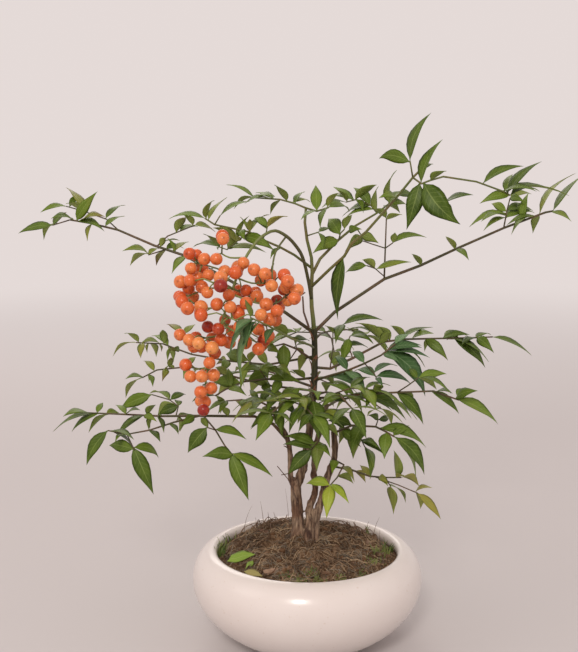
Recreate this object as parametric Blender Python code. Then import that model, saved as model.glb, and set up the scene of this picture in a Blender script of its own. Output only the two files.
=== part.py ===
"""Heavenly bamboo bonsai in a squashed round bowl.

Values are millimetres until they reach a mesh. The tree has a front, as every bonsai has: stalks, leaflets and
berries are given as (x, z, toward), the place (x, z) where the front eye sees them against the tree's middle
plane, and how far they stand toward that eye.
"""

import math
import random

import bmesh
import bpy
from mathutils import Matrix, Vector
from mathutils.bvhtree import BVHTree

MM = 0.001
FRONT_EYE = Vector((-14.0, -800.0, 368.0))
GAP = 0.35

POT_HEIGHT = 73.0
POT_RADIUS = 88.5
POT_BELLY = 49.0
POT_WALL = 6.5
POT_LIP_RADIUS = 73.2
POT_FOOT_RADIUS = 42.0
POT_FLOOR = 7.0
POT_SIDES = 32
DRAIN_DIAMETER = 8.0
DRAIN_RING = 27.0
DRAIN_SIDES = 10

SOIL_RIM = 64.5
SOIL_CROWN = 78.0
SOIL_RADIUS = 68.9
SOIL_BACK_RISE = 5.0
SOIL_CLEARANCE = 1.3
SOIL_SIDES = 28
CROWN_CENTRE = (-2.0, 0.0)
CROWN_RADIUS = 13.0
CROWN_HOLE_FLOOR = 52.0
CROWN_SIDES = 12

BERRY_DIAMETER = 8.8
BERRY_PITCH = 9.2
BERRY_THINNING = 6
PEDICEL_RADIUS = 0.45
PANICLE_HALF_DEPTH = 27.0

LEAFLET_RIB = 0.6
LEAFLET_ARCH = 0.10
SLENDERNESS = 0.30
NECK = 0.32
NODE_SPACE = 1.0
LEAST_LEAFLET = 168.0

# Sides of the stalks: the first route of each kind, and the thinner ones after it.
CANE_SIDES = (9, 8)
STALK_SIDES = (4, 3)
BRANCH_SIDES = (5, 3)

for old in list(bpy.data.objects):
    bpy.data.objects.remove(old, do_unlink=True)


def material(name, colour, roughness, coat=0.0):
    made = bpy.data.materials.new(name)
    made.use_nodes = True
    shader = made.node_tree.nodes["Principled BSDF"]
    shader.inputs["Base Color"].default_value = (*colour, 1.0)
    shader.inputs["Roughness"].default_value = roughness
    shader.inputs["Coat Weight"].default_value = coat
    return made


GLAZE = material("cream_glaze", (0.80, 0.71, 0.62), 0.18, 0.6)
EARTH = material("potting_soil", (0.07, 0.04, 0.025), 0.95)
BARK = material("cane_bark", (0.16, 0.085, 0.055), 0.85)
BERRY = material("berry_skin", (0.72, 0.14, 0.04), 0.32)
LEAF = material("mature_leaf", (0.06, 0.12, 0.03), 0.5)
YOUNG_LEAF = material("young_leaf", (0.25, 0.42, 0.05), 0.5)
FALLEN_LEAF = material("fallen_leaf", (0.35, 0.36, 0.08), 0.7)


def seen(x, z, toward=0.0):
    """The point on the front eye's sight line through (x, 0, z) that stands this far toward the eye."""
    plane = Vector((x, 0.0, z))
    return FRONT_EYE + (plane - FRONT_EYE) * (1.0 + toward / FRONT_EYE.y)


def mesh_object(name, points, faces, finish):
    mesh = bpy.data.meshes.new(name)
    mesh.from_pydata([tuple(Vector(p) * MM) for p in points], [], faces)
    mesh.materials.append(finish)
    obj = bpy.data.objects.new(name, mesh)
    bpy.context.scene.collection.objects.link(obj)
    return obj


def turned(name, profile, sides, finish):
    """A solid of revolution from (radius, z) points that run from the axis round to the axis."""
    work = bmesh.new()
    points = [work.verts.new((r * MM, 0.0, z * MM)) for r, z in profile]
    edges = [work.edges.new(pair) for pair in zip(points, points[1:])]
    bmesh.ops.spin(work, geom=points + edges, cent=(0, 0, 0), axis=(0, 0, 1), angle=math.tau,
                   steps=sides, use_merge=True)
    bmesh.ops.remove_doubles(work, verts=work.verts, dist=0.00002)
    bmesh.ops.recalc_face_normals(work, faces=work.faces)
    mesh = bpy.data.meshes.new(name)
    work.to_mesh(mesh)
    work.free()
    mesh.materials.append(finish)
    obj = bpy.data.objects.new(name, mesh)
    bpy.context.scene.collection.objects.link(obj)
    return obj


def apply_boolean(obj, operation, other):
    """One Boolean with an object or a whole collection, applied, and the tools removed."""
    cut = obj.modifiers.new(operation.lower(), "BOOLEAN")
    cut.operation = operation
    cut.solver = "EXACT"
    if isinstance(other, bpy.types.Collection):
        cut.operand_type = "COLLECTION"
        cut.collection = other
        tools = list(other.objects)
    else:
        cut.object = other
        tools = [other]
    bpy.context.view_layer.update()
    solid = bpy.data.meshes.new_from_object(obj.evaluated_get(bpy.context.evaluated_depsgraph_get()))
    obj.modifiers.clear()
    obj.data = solid
    for tool in tools:
        bpy.data.objects.remove(tool, do_unlink=True)
    if isinstance(other, bpy.types.Collection):
        bpy.data.collections.remove(other)


def fuse(name, pieces):
    """The pieces joined into one solid that takes the first one's place and this name."""
    trunk, *rest = pieces
    bunch = bpy.data.collections.new(name + "_pieces")
    bpy.context.scene.collection.children.link(bunch)
    for piece in rest:
        bunch.objects.link(piece)
    apply_boolean(trunk, "UNION", bunch)
    keep_largest_body(trunk)
    trunk.name = name
    trunk.data.name = name


def keep_largest_body(obj):
    """Drops loose scraps, so the object is one body."""
    work = bmesh.new()
    work.from_mesh(obj.data)
    left = set(work.verts)
    bodies = []
    while left:
        queue = [left.pop()]
        body = list(queue)
        while queue:
            for edge in queue.pop().link_edges:
                for vert in edge.verts:
                    if vert in left:
                        left.remove(vert)
                        queue.append(vert)
                        body.append(vert)
        bodies.append(body)
    bodies.sort(key=len)
    scraps = [vert for body in bodies[:-1] for vert in body]
    bmesh.ops.delete(work, geom=scraps, context="VERTS")
    work.to_mesh(obj.data)
    work.free()


def tube_mesh(points, radii, sides):
    """Points and triangles of a closed stalk along a route, with flat ends and a round stalk's thickness."""
    fullness = math.sqrt(math.tau / (sides * math.sin(math.tau / sides)))
    rings = []
    side = None
    for i, here in enumerate(points):
        ahead = points[min(i + 1, len(points) - 1)] - points[max(i - 1, 0)]
        ahead.normalize()
        if side is None:
            side = ahead.cross(Vector((0.3, 1.0, 0.2))).normalized()
        side = (side - ahead * side.dot(ahead)).normalized()
        across = ahead.cross(side)
        rings.append([here + (side * math.cos(turn) + across * math.sin(turn)) * (radii[i] * fullness)
                      for turn in (math.tau * k / sides for k in range(sides))])
    faces = []
    for i in range(len(rings) - 1):
        for k in range(sides):
            a, b = i * sides + k, i * sides + (k + 1) % sides
            faces += [(a, b, b + sides), (a, b + sides, a + sides)]
    last = (len(rings) - 1) * sides
    for k in range(1, sides - 1):
        faces += [(0, k + 1, k), (last, last + k, last + k + 1)]
    return [p for ring in rings for p in ring], faces


# A leaflet's triangles: its end at the stalk, then left half above, right half above, and the underside.
LEAFLET_FACES = [(0, 1, 2)]
for k, n in ((0, 1), (1, 2), (2, 0)):
    LEAFLET_FACES += [(k, n + 3, n), (k, k + 3, n + 3), (k + 3, n + 6, n + 3), (k + 3, k + 6, n + 6),
                      (k + 6, 9, n + 6)]


def leaflet_mesh(base, tip, normal, width, spare=0.0, start=0.0):
    """Points and triangles of one pointed leaflet: a blade with a ribbed underside that arches from base to tip.

    Each station is left edge, right edge, rib below. spare thickens it all round, for a clearance test, and
    start leaves out the part before that share of its length.
    """
    along = tip - base
    length = along.length
    along.normalize()
    normal = (normal - along * normal.dot(along)).normalized()
    across = normal.cross(along)
    stations = [(start, 0.41 * width if start else NECK), (0.22, 0.41 * width), (0.52, 0.47 * width)]
    points = []
    for share, half in stations:
        here = base + along * (length * share) + normal * (4.0 * LEAFLET_ARCH * length * share * (1.0 - share))
        rib = LEAFLET_RIB if share else NECK
        points += [here - across * (half + spare) + normal * (rib * 0.4 + spare),
                   here + across * (half + spare) + normal * (rib * 0.4 + spare), here - normal * (rib + spare)]
    points.append(tip + along * spare)
    return points, LEAFLET_FACES


def blade_normal(base, tip, width, seen_width):
    """The upper side's direction, so that from the front the blade shows this much of its width."""
    along = (tip - base).normalized()
    sight = ((base + tip) / 2 - FRONT_EYE).normalized()
    across = along.cross(sight).normalized()
    turn = math.acos(min(1.0, seen_width / width))
    up = Vector((0, 0, 1)) - sight * 0.3
    best = None
    for sign in (1, -1):
        edge = Matrix.Rotation(sign * turn, 3, along) @ across
        normal = along.cross(edge)
        if normal.dot(up) < 0:
            normal.negate()
        if best is None or normal.dot(up) > best.dot(up):
            best = normal
    return best


class Room:
    """Everything placed so far, so that a new leaflet can be bent clear of it."""

    def __init__(self):
        self.placed = []

    def add(self, points, faces):
        low = Vector(min(p[k] for p in points) for k in range(3))
        high = Vector(max(p[k] for p in points) for k in range(3))
        self.placed.append((low, high, BVHTree.FromPolygons(points, faces)))

    def clear(self, points, faces):
        low = Vector(min(p[k] for p in points) for k in range(3))
        high = Vector(max(p[k] for p in points) for k in range(3))
        probe = None
        for other_low, other_high, other in self.placed:
            if all(low[k] <= other_high[k] and other_low[k] <= high[k] for k in range(3)):
                probe = probe or BVHTree.FromPolygons(points, faces)
                if probe.overlap(other):
                    return False
        return True


SWINGS = [(0.0, 0.0)] + [(reach * depth, reach * lift) for reach in (0.14, 0.28, 0.42, 0.58, 0.75)
                         for depth, lift in ((1, 0), (-1, 0), (0, 1), (0, -1), (0.8, 0.8), (-0.8, 0.8),
                                             (0.8, -0.8), (-0.8, -0.8))]

# Each compound leaf: what it springs from, its stalks, and its leaflets. A stalk is its radius at both ends and
# its route. A leaflet is its base and its tip, each (x, z), the width that shows, and how far its tip leans
# toward the front where that was judged by eye.
FRONDS = {
    "leaf_crown": ("canes", [
        (1.9, 1.0, [(4.9, 240, 0), (4.2, 250, 0), (3, 260, 0), (2.5, 272, 0), (3.3, 286, 0), (2.7, 297, 1),
                    (-0.6, 310, 2), (-2.3, 323, 2), (-1.5, 333.7, 2)]),
        (0.8, 0.55, [(-1.5, 333.7, 2), (-9.5, 337, -2), (-20.5, 340, -7), (-39.5, 341.3, -14)]),
        (0.8, 0.6, [(-1.5, 333.7, 2), (6.5, 331.4, 8), (15, 334, 16)]),
        (0.55, 0.45, [(-1.3, 313, 2), (8, 316, 9)]),
    ], [
        (-39.5, 341, -60.5, 351, 3.5), (-25, 343, -39, 345, 3), (-14, 344, -25, 351, 5), (-9.5, 337, -2, 346, 3),
        (6.5, 331.5, 5.6, 351, 9), (6.5, 331.5, -5.5, 325, 3), (8, 316, 18, 319, 3), (-28, 341, -47, 337, 3),
        (-20, 340, -28, 329, 4), (15, 334, 31, 331, 4), (13, 334, 9, 318, 5), (15, 334, 24, 345, 4),
        (-39, 341, -55, 333, 4), (8, 316, 11, 303, 4)]),
    "leaf_left_upper": ("leaf_crown", [
        (1.1, 0.6, [(3.2, 289, 0), (-10, 299, 3), (-21, 305, 7), (-34, 310.5, 10), (-43, 316, 12),
                    (-69, 321.5, 16), (-76, 326, 18)]),
        (0.6, 0.45, [(-34, 310.5, 10), (-31, 315, 16), (-30, 320, 20)]),
        (0.6, 0.45, [(-43, 316, 12), (-53, 309, 4), (-60, 303, -4), (-66, 305, -8)]),
        (0.5, 0.45, [(-69, 321.5, 16), (-65, 328, 20)]),
    ], [
        (-76, 326, -103.5, 325.5, 3.5), (-77, 327, -69, 339.5, 3.5), (-73.5, 327, -59.5, 342, 3.5),
        (-64, 329, -42.5, 339, 4), (-60, 320, -63, 311, 9), (-50, 318, -47, 310, 7), (-30, 320, -40, 326.5, 5),
        (-30, 320, -14.5, 327.7, 3.5), (-47, 311, -23.5, 314.5, 8), (-59.5, 303, -50, 309.5, 5),
        (-57, 302, -30.5, 300.7, 4), (-67, 306, -85.5, 305, 4), (-53, 309, -53, 322, 5), (-66, 305, -78, 315, 4),
        (-43, 316, -43, 326, 5), (-20, 304, -28, 296, 4)]),
    "leaf_far_left": ("canes", [
        (1.5, 0.7, [(4.5, 240.5, 0), (-17, 256, -7), (-60, 281, -22), (-91.5, 298.5, -32), (-114, 306, -36),
                    (-140.5, 317.5, -34), (-161, 322.5, -30), (-176, 325, -26)]),
        (0.6, 0.45, [(-140.5, 317.5, -34), (-149, 325.5, -42), (-166, 331.5, -48), (-178.5, 335, -50)]),
        (0.6, 0.45, [(-105.5, 303, -34), (-118.5, 299, -26)]),
        (0.6, 0.45, [(-112, 305.5, -36), (-104, 313, -40), (-84, 321, -38)]),
        (0.5, 0.45, [(-176, 325, -26), (-189, 321, -22)]),
    ], [
        (-171, 325, -155, 346, 9), (-176, 335, -168, 343, 5), (-178, 335, -198, 330.5, 3.5),
        (-189, 321, -215, 315, 6), (-189, 321, -178, 331, 4), (-168, 324, -150, 327.5, 3.5),
        (-150, 325, -134.5, 336, 4), (-150, 321, -135, 328, 3.5), (-118, 299.5, -138, 302, 4),
        (-118, 299.5, -132.5, 291, 4), (-105, 303, -113, 291, 4), (-91.5, 298.5, -101.5, 285, 6),
        (-100, 302, -88, 309, 4), (-84, 321, -68, 316, 3.5), (-98, 316, -90, 327, 6), (-84, 321, -95, 330, 4),
        (-160, 322, -164, 309, 4), (-166, 331, -180, 343, 4), (-185, 322, -196, 310, 4)]),
    "leaf_upper_right": ("leaf_crown", [
        (1.3, 0.7, [(3, 284, 0), (9, 296, -5), (22.5, 310, -12), (35, 320.5, -20), (51, 330, -30), (60, 337, -36)]),
        (0.6, 0.5, [(23, 310.4, -12), (24, 315, -4), (27, 318, 2)]),
        (0.6, 0.45, [(51, 330, -30), (46, 336, -38), (36, 340, -44), (28, 338, -48)]),
        (0.6, 0.45, [(35, 320.5, -20), (40, 313, -26)]),
    ], [
        (58, 342, 65.5, 362, 4.5), (50, 343, 33, 349, 8), (34, 341, 15, 340, 4), (28, 338, 10, 334, 4),
        (46, 335, 25, 327.5, 4.5), (60, 337, 74, 345, 4), (59, 335, 74, 335, 5), (23.5, 314, 15, 326, 11),
        (27, 318, 33, 329, 5), (22, 311, 3.5, 300, 9), (30, 317, 40, 318, 6), (40, 313, 27.5, 301.5, 8),
        (41, 313, 50, 309, 7), (36, 340, 41, 330, 5), (60, 337, 52, 350, 5), (28, 338, 22, 347, 4)]),
    "leaf_crown_right": ("leaf_crown", [
        (1.2, 0.8, [(2.5, 275, 0), (16.5, 288.5, 7), (27, 298, 13), (33, 308, 17), (43, 316, 22), (57, 332, 31),
                    (67, 343.5, 38), (77, 356, 45), (82, 361, 48)]),
        (0.6, 0.5, [(77, 356, 45), (74.8, 368, 52)]),
        (0.7, 0.6, [(77, 356, 45), (83.5, 351.5, 52), (90, 354, 54), (99.5, 356.7, 52), (123.8, 353, 46),
                    (144, 345.8, 40), (149, 343, 38)]),
        (0.5, 0.45, [(85, 351.8, 52), (92, 343, 50), (100, 337, 46)]),
    ], [
        (74.8, 368, 89.5, 403, 6), (74.8, 368, 51.7, 369.7, 8.7), (83.5, 352, 98.5, 384, 6),
        (85, 352, 113, 321.5, 16, 8), (83, 352, 73, 317.5, 11), (128.7, 352, 158.5, 364.5, 5),
        (149, 343, 126.5, 337, 6), (148, 343, 150.5, 358.5, 6), (149, 343, 171.5, 368, 6),
        (149, 343, 170, 346, 4), (149, 343, 193, 342.7, 3), (100, 337, 122, 343.5, 3.5), (100, 337, 108.5, 333, 3),
        (90, 354, 102, 361, 4), (82, 361, 92, 366, 4), (66, 343, 80, 341, 5), (65, 341, 52, 341, 5),
        (27, 297, 22.5, 250, 9.5)]),
    "leaf_long_right": ("canes", [
        (1.4, 0.8, [(5, 240.8, 0), (20, 256, -8), (57, 281, -24), (83.5, 291, -34), (110, 303.5, -44),
                    (145, 319, -56), (175.5, 330.5, -62), (181, 331.5, -62)]),
        (0.7, 0.5, [(57, 281, -24), (57.5, 304, -26), (58, 326, -28)]),
        (0.5, 0.45, [(57.5, 304, -26), (48, 307, -34), (39, 310, -40)]),
        (0.5, 0.45, [(57.5, 304, -26), (63, 308, -20)]),
        (0.6, 0.5, [(145, 319, -56), (147, 332, -64), (149, 341, -70)]),
        (0.5, 0.45, [(57, 283, -24), (50, 289, -14), (44, 291, -8)]),
    ], [
        (63, 308, 64.5, 316, 5), (63, 308, 88.5, 312, 4), (39, 310, 33, 300, 6), (58, 326, 46, 333, 5),
        (58, 326, 70, 329, 4), (44, 291, 27.7, 285.5, 6), (50, 289, 40, 295.5, 5), (50, 288.5, 77.5, 293.8, 5),
        (146, 330, 119, 319.5, 5), (146, 328, 128.5, 319.5, 4), (147, 331, 135, 337, 7),
        (147, 330, 167, 331.5, 5), (149, 341, 160, 338, 6), (171, 329, 197, 359.5, 5),
        (181, 331.5, 202, 358, 5), (170, 328, 166.5, 315, 6), (167, 327, 150.5, 314, 5),
        (110, 303.5, 120, 295, 5), (84, 291, 77, 300, 4), (160, 325, 154, 337, 6), (181, 331.5, 195, 324, 5),
        (110, 303.5, 102, 313, 4)]),
    "leaf_right_mid": ("canes", [
        (1.2, 0.6, [(5.2, 214, 0), (17, 213, -6), (34, 221, -14), (57, 233.5, -28), (72, 235.5, -38),
                    (94, 236, -48), (126, 236.7, -58), (139, 237.3, -62)]),
        (0.5, 0.45, [(17, 213, -6), (19, 229, -12), (19, 240, -16), (27, 247, -18)]),
        (0.5, 0.45, [(34, 221, -14), (30, 233, -22), (32, 238, -26)]),
    ], [
        (139, 237, 169.5, 223, 3.5), (127, 237, 140.5, 225, 8), (101, 237, 122, 239, 5),
        (109.5, 236, 134.5, 213.3, 9), (108, 236, 137, 219, 3.5), (88, 235.5, 106, 219, 8),
        (78, 236, 95, 240, 5), (32.5, 246, 21, 232, 7), (27, 238, 27, 219.4, 7), (30, 246, 57, 250, 5),
        (54, 232, 63, 241, 7), (32, 238, 49.5, 232, 4), (30, 230, 46, 229, 3), (16, 217, 35, 221.5, 4),
        (72, 235.5, 62, 246, 5), (94, 236, 88, 226, 5), (19, 240, 12, 247, 3), (126, 237, 116, 228, 5)]),
    "leaf_right_blue": ("canes", [
        (1.1, 0.6, [(4.5, 203.5, 0), (15, 207, 10), (30, 211.5, 18), (43, 217, 26), (55.5, 223.3, 32),
                    (66, 232, 36)]),
        (0.5, 0.45, [(43, 217, 26), (50, 210, 34), (52, 206, 38)]),
    ], [
        (61, 225, 89.5, 191.3, 11), (61, 226, 85, 231.5, 5), (63, 222, 92.5, 221.5, 4),
        (52, 207, 79, 200.7, 5), (51, 210, 68.5, 215, 3), (52, 206, 57.5, 198.5, 4),
        (30, 212, 20, 222, 6), (43, 217, 33, 226, 6), (66, 232, 78, 240, 5), (16, 208, 20, 200, 5),
        (28, 211, 38, 203, 7)]),
    "leaf_right_front": ("canes", [
        (1.1, 0.6, [(3.7, 190, 0), (20, 191, 16), (38, 193, 34), (68, 194.7, 52), (95.5, 195.7, 60),
                    (115, 188.7, 66)]),
        (0.5, 0.45, [(68, 194.7, 52), (76, 200, 60), (84, 206, 66)]),
    ], [
        (84, 206, 105.5, 209, 6), (93, 203, 115.5, 178, 5), (98, 197, 110, 194, 3), (115, 189, 119, 198, 8),
        (115, 188.7, 145.5, 170, 7), (67.5, 192, 88.5, 169.5, 8), (72, 193, 81, 186, 5),
        (38, 193, 75.5, 173, 8), (36, 193, 13, 201, 5), (30, 191, 9, 186, 4), (28, 191, 42, 178, 5),
        (50, 194, 58, 203, 6), (50, 193, 44, 182, 6), (84, 206, 76, 213, 5), (115, 189, 129, 196, 6)]),
    "leaf_right_low": ("canes", [
        (1.0, 0.6, [(20, 163, 2), (34, 169, 12), (52, 168, 24), (60, 164, 32), (66.5, 160, 36)]),
        (0.5, 0.45, [(34, 169, 12), (40, 160, 24), (44, 152, 30)]),
        (0.5, 0.45, [(52, 168, 24), (54, 174, 16)]),
    ], [
        (55, 167.5, 91, 151.5, 9), (66.5, 160, 90, 129.7, 9.5), (60, 163, 59, 142.5, 10),
        (37, 167, 35, 142.5, 11), (43, 153, 48.3, 126, 5), (54, 174, 47, 176, 5), (54, 174, 62, 174, 5),
        (44, 158, 55, 151, 5), (46, 151, 51.5, 135, 4), (28, 167, 20, 176, 7), (40, 169, 33, 178, 6),
        (30, 167, 24, 154, 8), (66, 160, 78, 166, 5)]),
    "leaf_lowest_right": ("canes", [
        (0.9, 0.55, [(18.5, 137, 2), (34, 134, 6), (47.8, 129, 12), (60, 128, 16), (72, 128, 20)]),
        (0.5, 0.45, [(52, 128.5, 14), (70, 122, 22), (85, 115.5, 28)]),
        (0.5, 0.45, [(60, 128, 16), (64, 121, 12)]),
    ], [
        (68, 128, 66, 150, 6), (72, 128, 86, 121, 6), (85, 116, 103.5, 94.5, 6), (85, 116, 87.5, 103, 5),
        (56, 128, 62, 121, 5), (64, 121, 66.8, 98.5, 8), (64, 121, 76, 107.8, 3.5), (48, 129, 40, 138, 5),
        (85, 116, 96, 120, 4), (36, 133, 45, 124, 5)]),
    "young_shoot": ("canes", [
        (0.8, 0.5, [(19, 143, 3), (28, 138, 14), (23, 128, 22), (17.5, 121.7, 26)]),
    ], [
        (17.5, 121.7, -1.3, 122.8, 7.5), (17.5, 121.7, 15, 95, 9), (17.5, 121.7, 32.5, 107.3, 6),
        (24, 130, 35.5, 123.3, 6)]),
    "leaf_front": ("canes", [
        (1.0, 0.6, [(3.8, 196, 0), (2, 197, 20), (3, 190, 40), (10, 178, 48), (12, 166, 48), (8, 156, 44),
                    (3, 150, 38)]),
    ], [
        (4, 189, 9, 156.5, 15, 10), (11, 172, 29, 177, 7), (9, 157, 7.6, 130, 11), (3, 150, -14.8, 130, 11),
        (4, 151, -19, 154, 6), (3, 190, -10, 183, 7), (11, 168, 24, 160, 6), (10, 176, -4, 168, 7),
        (6, 153, 18, 144, 6)]),
    "leaf_centre_left": ("canes", [
        (1.0, 0.55, [(4.8, 219, 0), (-8, 228, 7), (-18, 232, 12), (-30, 229, 16)]),
        (0.5, 0.45, [(-8, 228, 7), (-10, 235, 2), (-16, 238, -2)]),
        (0.5, 0.45, [(-8, 228, 7), (-14, 219, 14), (-24, 214, 18)]),
    ], [
        (-18, 232, -17, 208, 10), (-30, 229, -20, 224, 6), (-10, 236, 2, 234, 4), (-10, 229, 2, 231, 3),
        (-24, 214, -37, 211, 4), (-24, 214, -12, 207, 6), (-16, 238, -27, 232, 3), (-16, 238, -28, 246, 6),
        (-27, 230, -40, 236, 5), (-3, 224, -7, 212, 7), (-15, 219, -25, 222, 5)]),
    "leaf_left_mid": ("canes", [
        (1.1, 0.6, [(4, 206, 0), (-12, 204, 6), (-31, 205, 12), (-48, 203, 16), (-62, 197, 18), (-70, 192, 20)]),
        (0.5, 0.45, [(-31, 205, 12), (-36, 212, 16), (-44, 219, 16)]),
    ], [
        (-46, 206, -27, 208, 8), (-30, 205, -8, 198, 6), (-50, 202, -72, 202, 9), (-60, 198, -46, 192, 6),
        (-70, 192, -86, 187, 6), (-70, 192, -66, 178, 6), (-44, 219, -62, 224, 9), (-44, 219, -38, 229, 5),
        (-36, 212, -50, 211, 6), (-20, 204, -28, 194, 7), (-12, 204, -20, 212, 6), (-58, 199, -60, 210, 6)]),
    "leaf_left_inner": ("canes", [
        (1.0, 0.55, [(-18, 166, 1), (-24, 181, 8), (-35, 187, 14), (-50, 189, 18), (-62, 188, 20)]),
        (0.5, 0.45, [(-24, 181, 8), (-18, 188, 16), (-12, 190, 20)]),
    ], [
        (-12, 190, 1, 182, 8), (-16, 189, -29, 193, 7), (-25, 182, -43.5, 167, 7), (-24, 181, -19.5, 160.5, 7),
        (-50, 189, -46, 180, 6), (-62, 188, -75.5, 191, 6), (-62, 188, -68, 178, 5), (-35, 187, -28, 199, 6),
        (-38, 187, -44, 197, 5), (-30, 185, -32, 174, 6), (-12, 190, -6, 198, 5), (-20, 185, -8, 176, 7)]),
    "leaf_over_berries": ("canes", [
        (1.0, 0.55, [(4.5, 229, 0), (2, 231, 44), (-12, 236, 78), (-30, 246, 92), (-43, 252, 96)]),
    ], [
        (-43, 252, -47, 266, 4), (-43, 252, -46, 228, 5), (-43, 252, -55, 240, 5), (-38, 250, -52, 218, 5),
        (-36, 249, -48, 198, 4), (-14, 237, -8, 225, 5), (-26, 244, -32, 232, 5)]),
    "leaf_lower_left": ("canes", [
        (1.4, 0.55, [(-15.5, 158, 0), (-26, 170, 4), (-40, 176, 10), (-82, 176.5, 20), (-110.5, 176.2, 24),
                     (-138.5, 177.6, 22), (-166, 178.8, 18)]),
        (0.8, 0.5, [(-82, 176.5, 20), (-101.7, 171.4, 26), (-120.2, 165.3, 32), (-137.6, 162, 36), (-152, 165, 38)]),
        (0.5, 0.45, [(-137.6, 162, 36), (-132, 149.4, 42)]),
        (0.7, 0.5, [(-79, 176.5, 19), (-70, 165.3, 34), (-63.2, 153.4, 44), (-57, 145.6, 50)]),
        (0.5, 0.45, [(-100, 176.3, 22), (-98, 184, 12), (-104.7, 189, 6), (-118, 193, 2)]),
        (0.5, 0.45, [(-70, 165.3, 34), (-76.5, 167.5, 38)]),
    ], [
        (-163, 178.5, -194.5, 163.8, 3.5), (-158, 178.3, -180, 163.8, 3.5), (-149, 178, -167, 163.3, 3.5),
        (-124, 177, -146.6, 157.2, 4.5), (-160, 178.5, -155, 187, 4), (-122, 177, -115, 185, 4),
        (-120, 176.5, -120, 166.5, 4), (-113, 176, -109, 163, 4), (-98, 176, -97, 164, 4),
        (-100, 186, -114.3, 175.2, 8), (-119, 193, -143.2, 180.9, 9), (-152, 166, -169.2, 137.5, 8),
        (-151, 166, -131.8, 157.6, 4), (-133, 150, -151.7, 153.3, 9), (-132, 150, -113.5, 143.2, 6.5),
        (-132, 150, -118, 114.3, 12), (-76.5, 167.5, -91.5, 147.3, 11), (-70, 166, -46.4, 158, 6),
        (-57.4, 145.6, -80.4, 144.3, 9.5), (-57, 145.6, -26.2, 128.4, 7), (-57.4, 145.6, -45, 109.6, 12),
        (-76, 168, -81.5, 175, 5), (-104, 189, -92, 193, 5), (-60, 176, -66, 184, 5), (-45, 176, -38, 184, 6),
        (-166, 178.8, -186, 176, 3.5), (-138, 178, -146, 185, 4), (-120, 165.5, -112, 156, 4),
        (-104, 171, -98, 162, 4)]),
    "leaf_left_back": ("canes", [
        (1.0, 0.55, [(5, 222.5, 0), (-30, 216, -24), (-60, 219, -42), (-87.5, 224, -54), (-109, 232, -62),
                     (-129, 233, -66)]),
        (0.5, 0.45, [(-87.5, 224, -54), (-86, 233, -62), (-94, 240, -68)]),
    ], [
        (-129, 233, -147, 222.3, 4), (-124, 233, -126, 221, 5), (-118, 232.5, -114, 222, 5),
        (-104, 230, -101, 218, 5), (-108, 232, -109, 243, 6), (-94, 240, -106, 247, 5), (-94, 240, -84, 247, 5),
        (-88, 226, -76, 232, 5), (-60, 219, -66, 208, 7), (-60, 219, -50, 227, 7), (-30, 216, -38, 226, 7),
        (-34, 216, -30, 204, 7), (-127, 233, -138, 240, 4)]),
    "leaf_left_thin": ("canes", [
        (1.0, 0.55, [(4, 196, 0), (-30, 200, -16), (-60, 208, -24), (-90, 214.5, -26), (-113.7, 212, -24),
                     (-125, 206, -22)]),
    ], [
        (-125, 206, -138, 190.3, 4), (-104, 213, -103, 222, 5), (-106, 213, -110, 203, 5),
        (-116, 211.5, -124, 219, 5), (-120, 209, -117, 199, 4), (-90, 214.5, -94, 205, 5),
        (-92, 215, -84, 222, 5), (-60, 208, -70, 214, 6), (-62, 208, -54, 200, 6), (-30, 200, -40, 206, 7),
        (-34, 200, -26, 191, 7), (-125, 206, -138, 205, 4)]),
    "leaf_front_right": ("canes", [
        (1.0, 0.6, [(3.9, 192, 0), (14, 195, 26), (25, 192, 54), (34, 182, 76)]),
        (0.6, 0.45, [(16, 194.6, 31), (4, 195, 42), (-5, 190, 50)]),
        (0.6, 0.45, [(20, 193.6, 42), (33, 198, 44), (44, 197, 48)]),
    ], []),
    "leaf_front_left": ("canes", [
        (1.0, 0.6, [(3.6, 184, 0), (-8, 189, 24), (-18, 187, 50), (-28, 178, 72)]),
        (0.6, 0.45, [(-10, 188.7, 29), (-24, 191, 34), (-34, 188, 38)]),
        (0.6, 0.45, [(-13, 188, 38), (-2, 184, 52), (4, 177, 62)]),
    ], []),
    "leaf_back_left": ("canes", [
        (1.1, 0.6, [(4, 199, 0), (-10, 204, -34), (-22, 210, -66), (-32, 212, -96), (-38, 206, -120)]),
        (0.6, 0.45, [(-12, 205, -39), (6, 206, -50), (16, 202, -58)]),
        (0.6, 0.45, [(-14, 206, -45), (-34, 212, -46), (-48, 210, -50)]),
    ], []),
    "leaf_back": ("canes", [
        (1.1, 0.6, [(5, 235, 0), (10, 240, -30), (14, 241, -66), (18, 236, -98), (20, 226, -122)]),
        (0.6, 0.45, [(11, 240.5, -40), (-8, 241, -52), (-20, 236, -60)]),
        (0.6, 0.45, [(12, 241, -46), (32, 243, -54), (44, 238, -62)]),
    ], []),
    "leaf_back_right": ("canes", [
        (1.1, 0.6, [(15, 184, -3), (22, 188, -30), (34, 191, -58), (46, 190, -86), (56, 182, -106)]),
        (0.6, 0.45, [(24, 189, -36), (12, 188, -54), (4, 184, -66)]),
        (0.6, 0.45, [(28, 190, -42), (48, 192, -46), (62, 188, -50)]),
    ], []),
}
PAIRED = {"leaf_front_right": 12, "leaf_front_left": 15, "leaf_back_left": 3, "leaf_back": 5, "leaf_back_right": 7}
YOUNG = ("young_shoot", "leaf_lowest_right")

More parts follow.
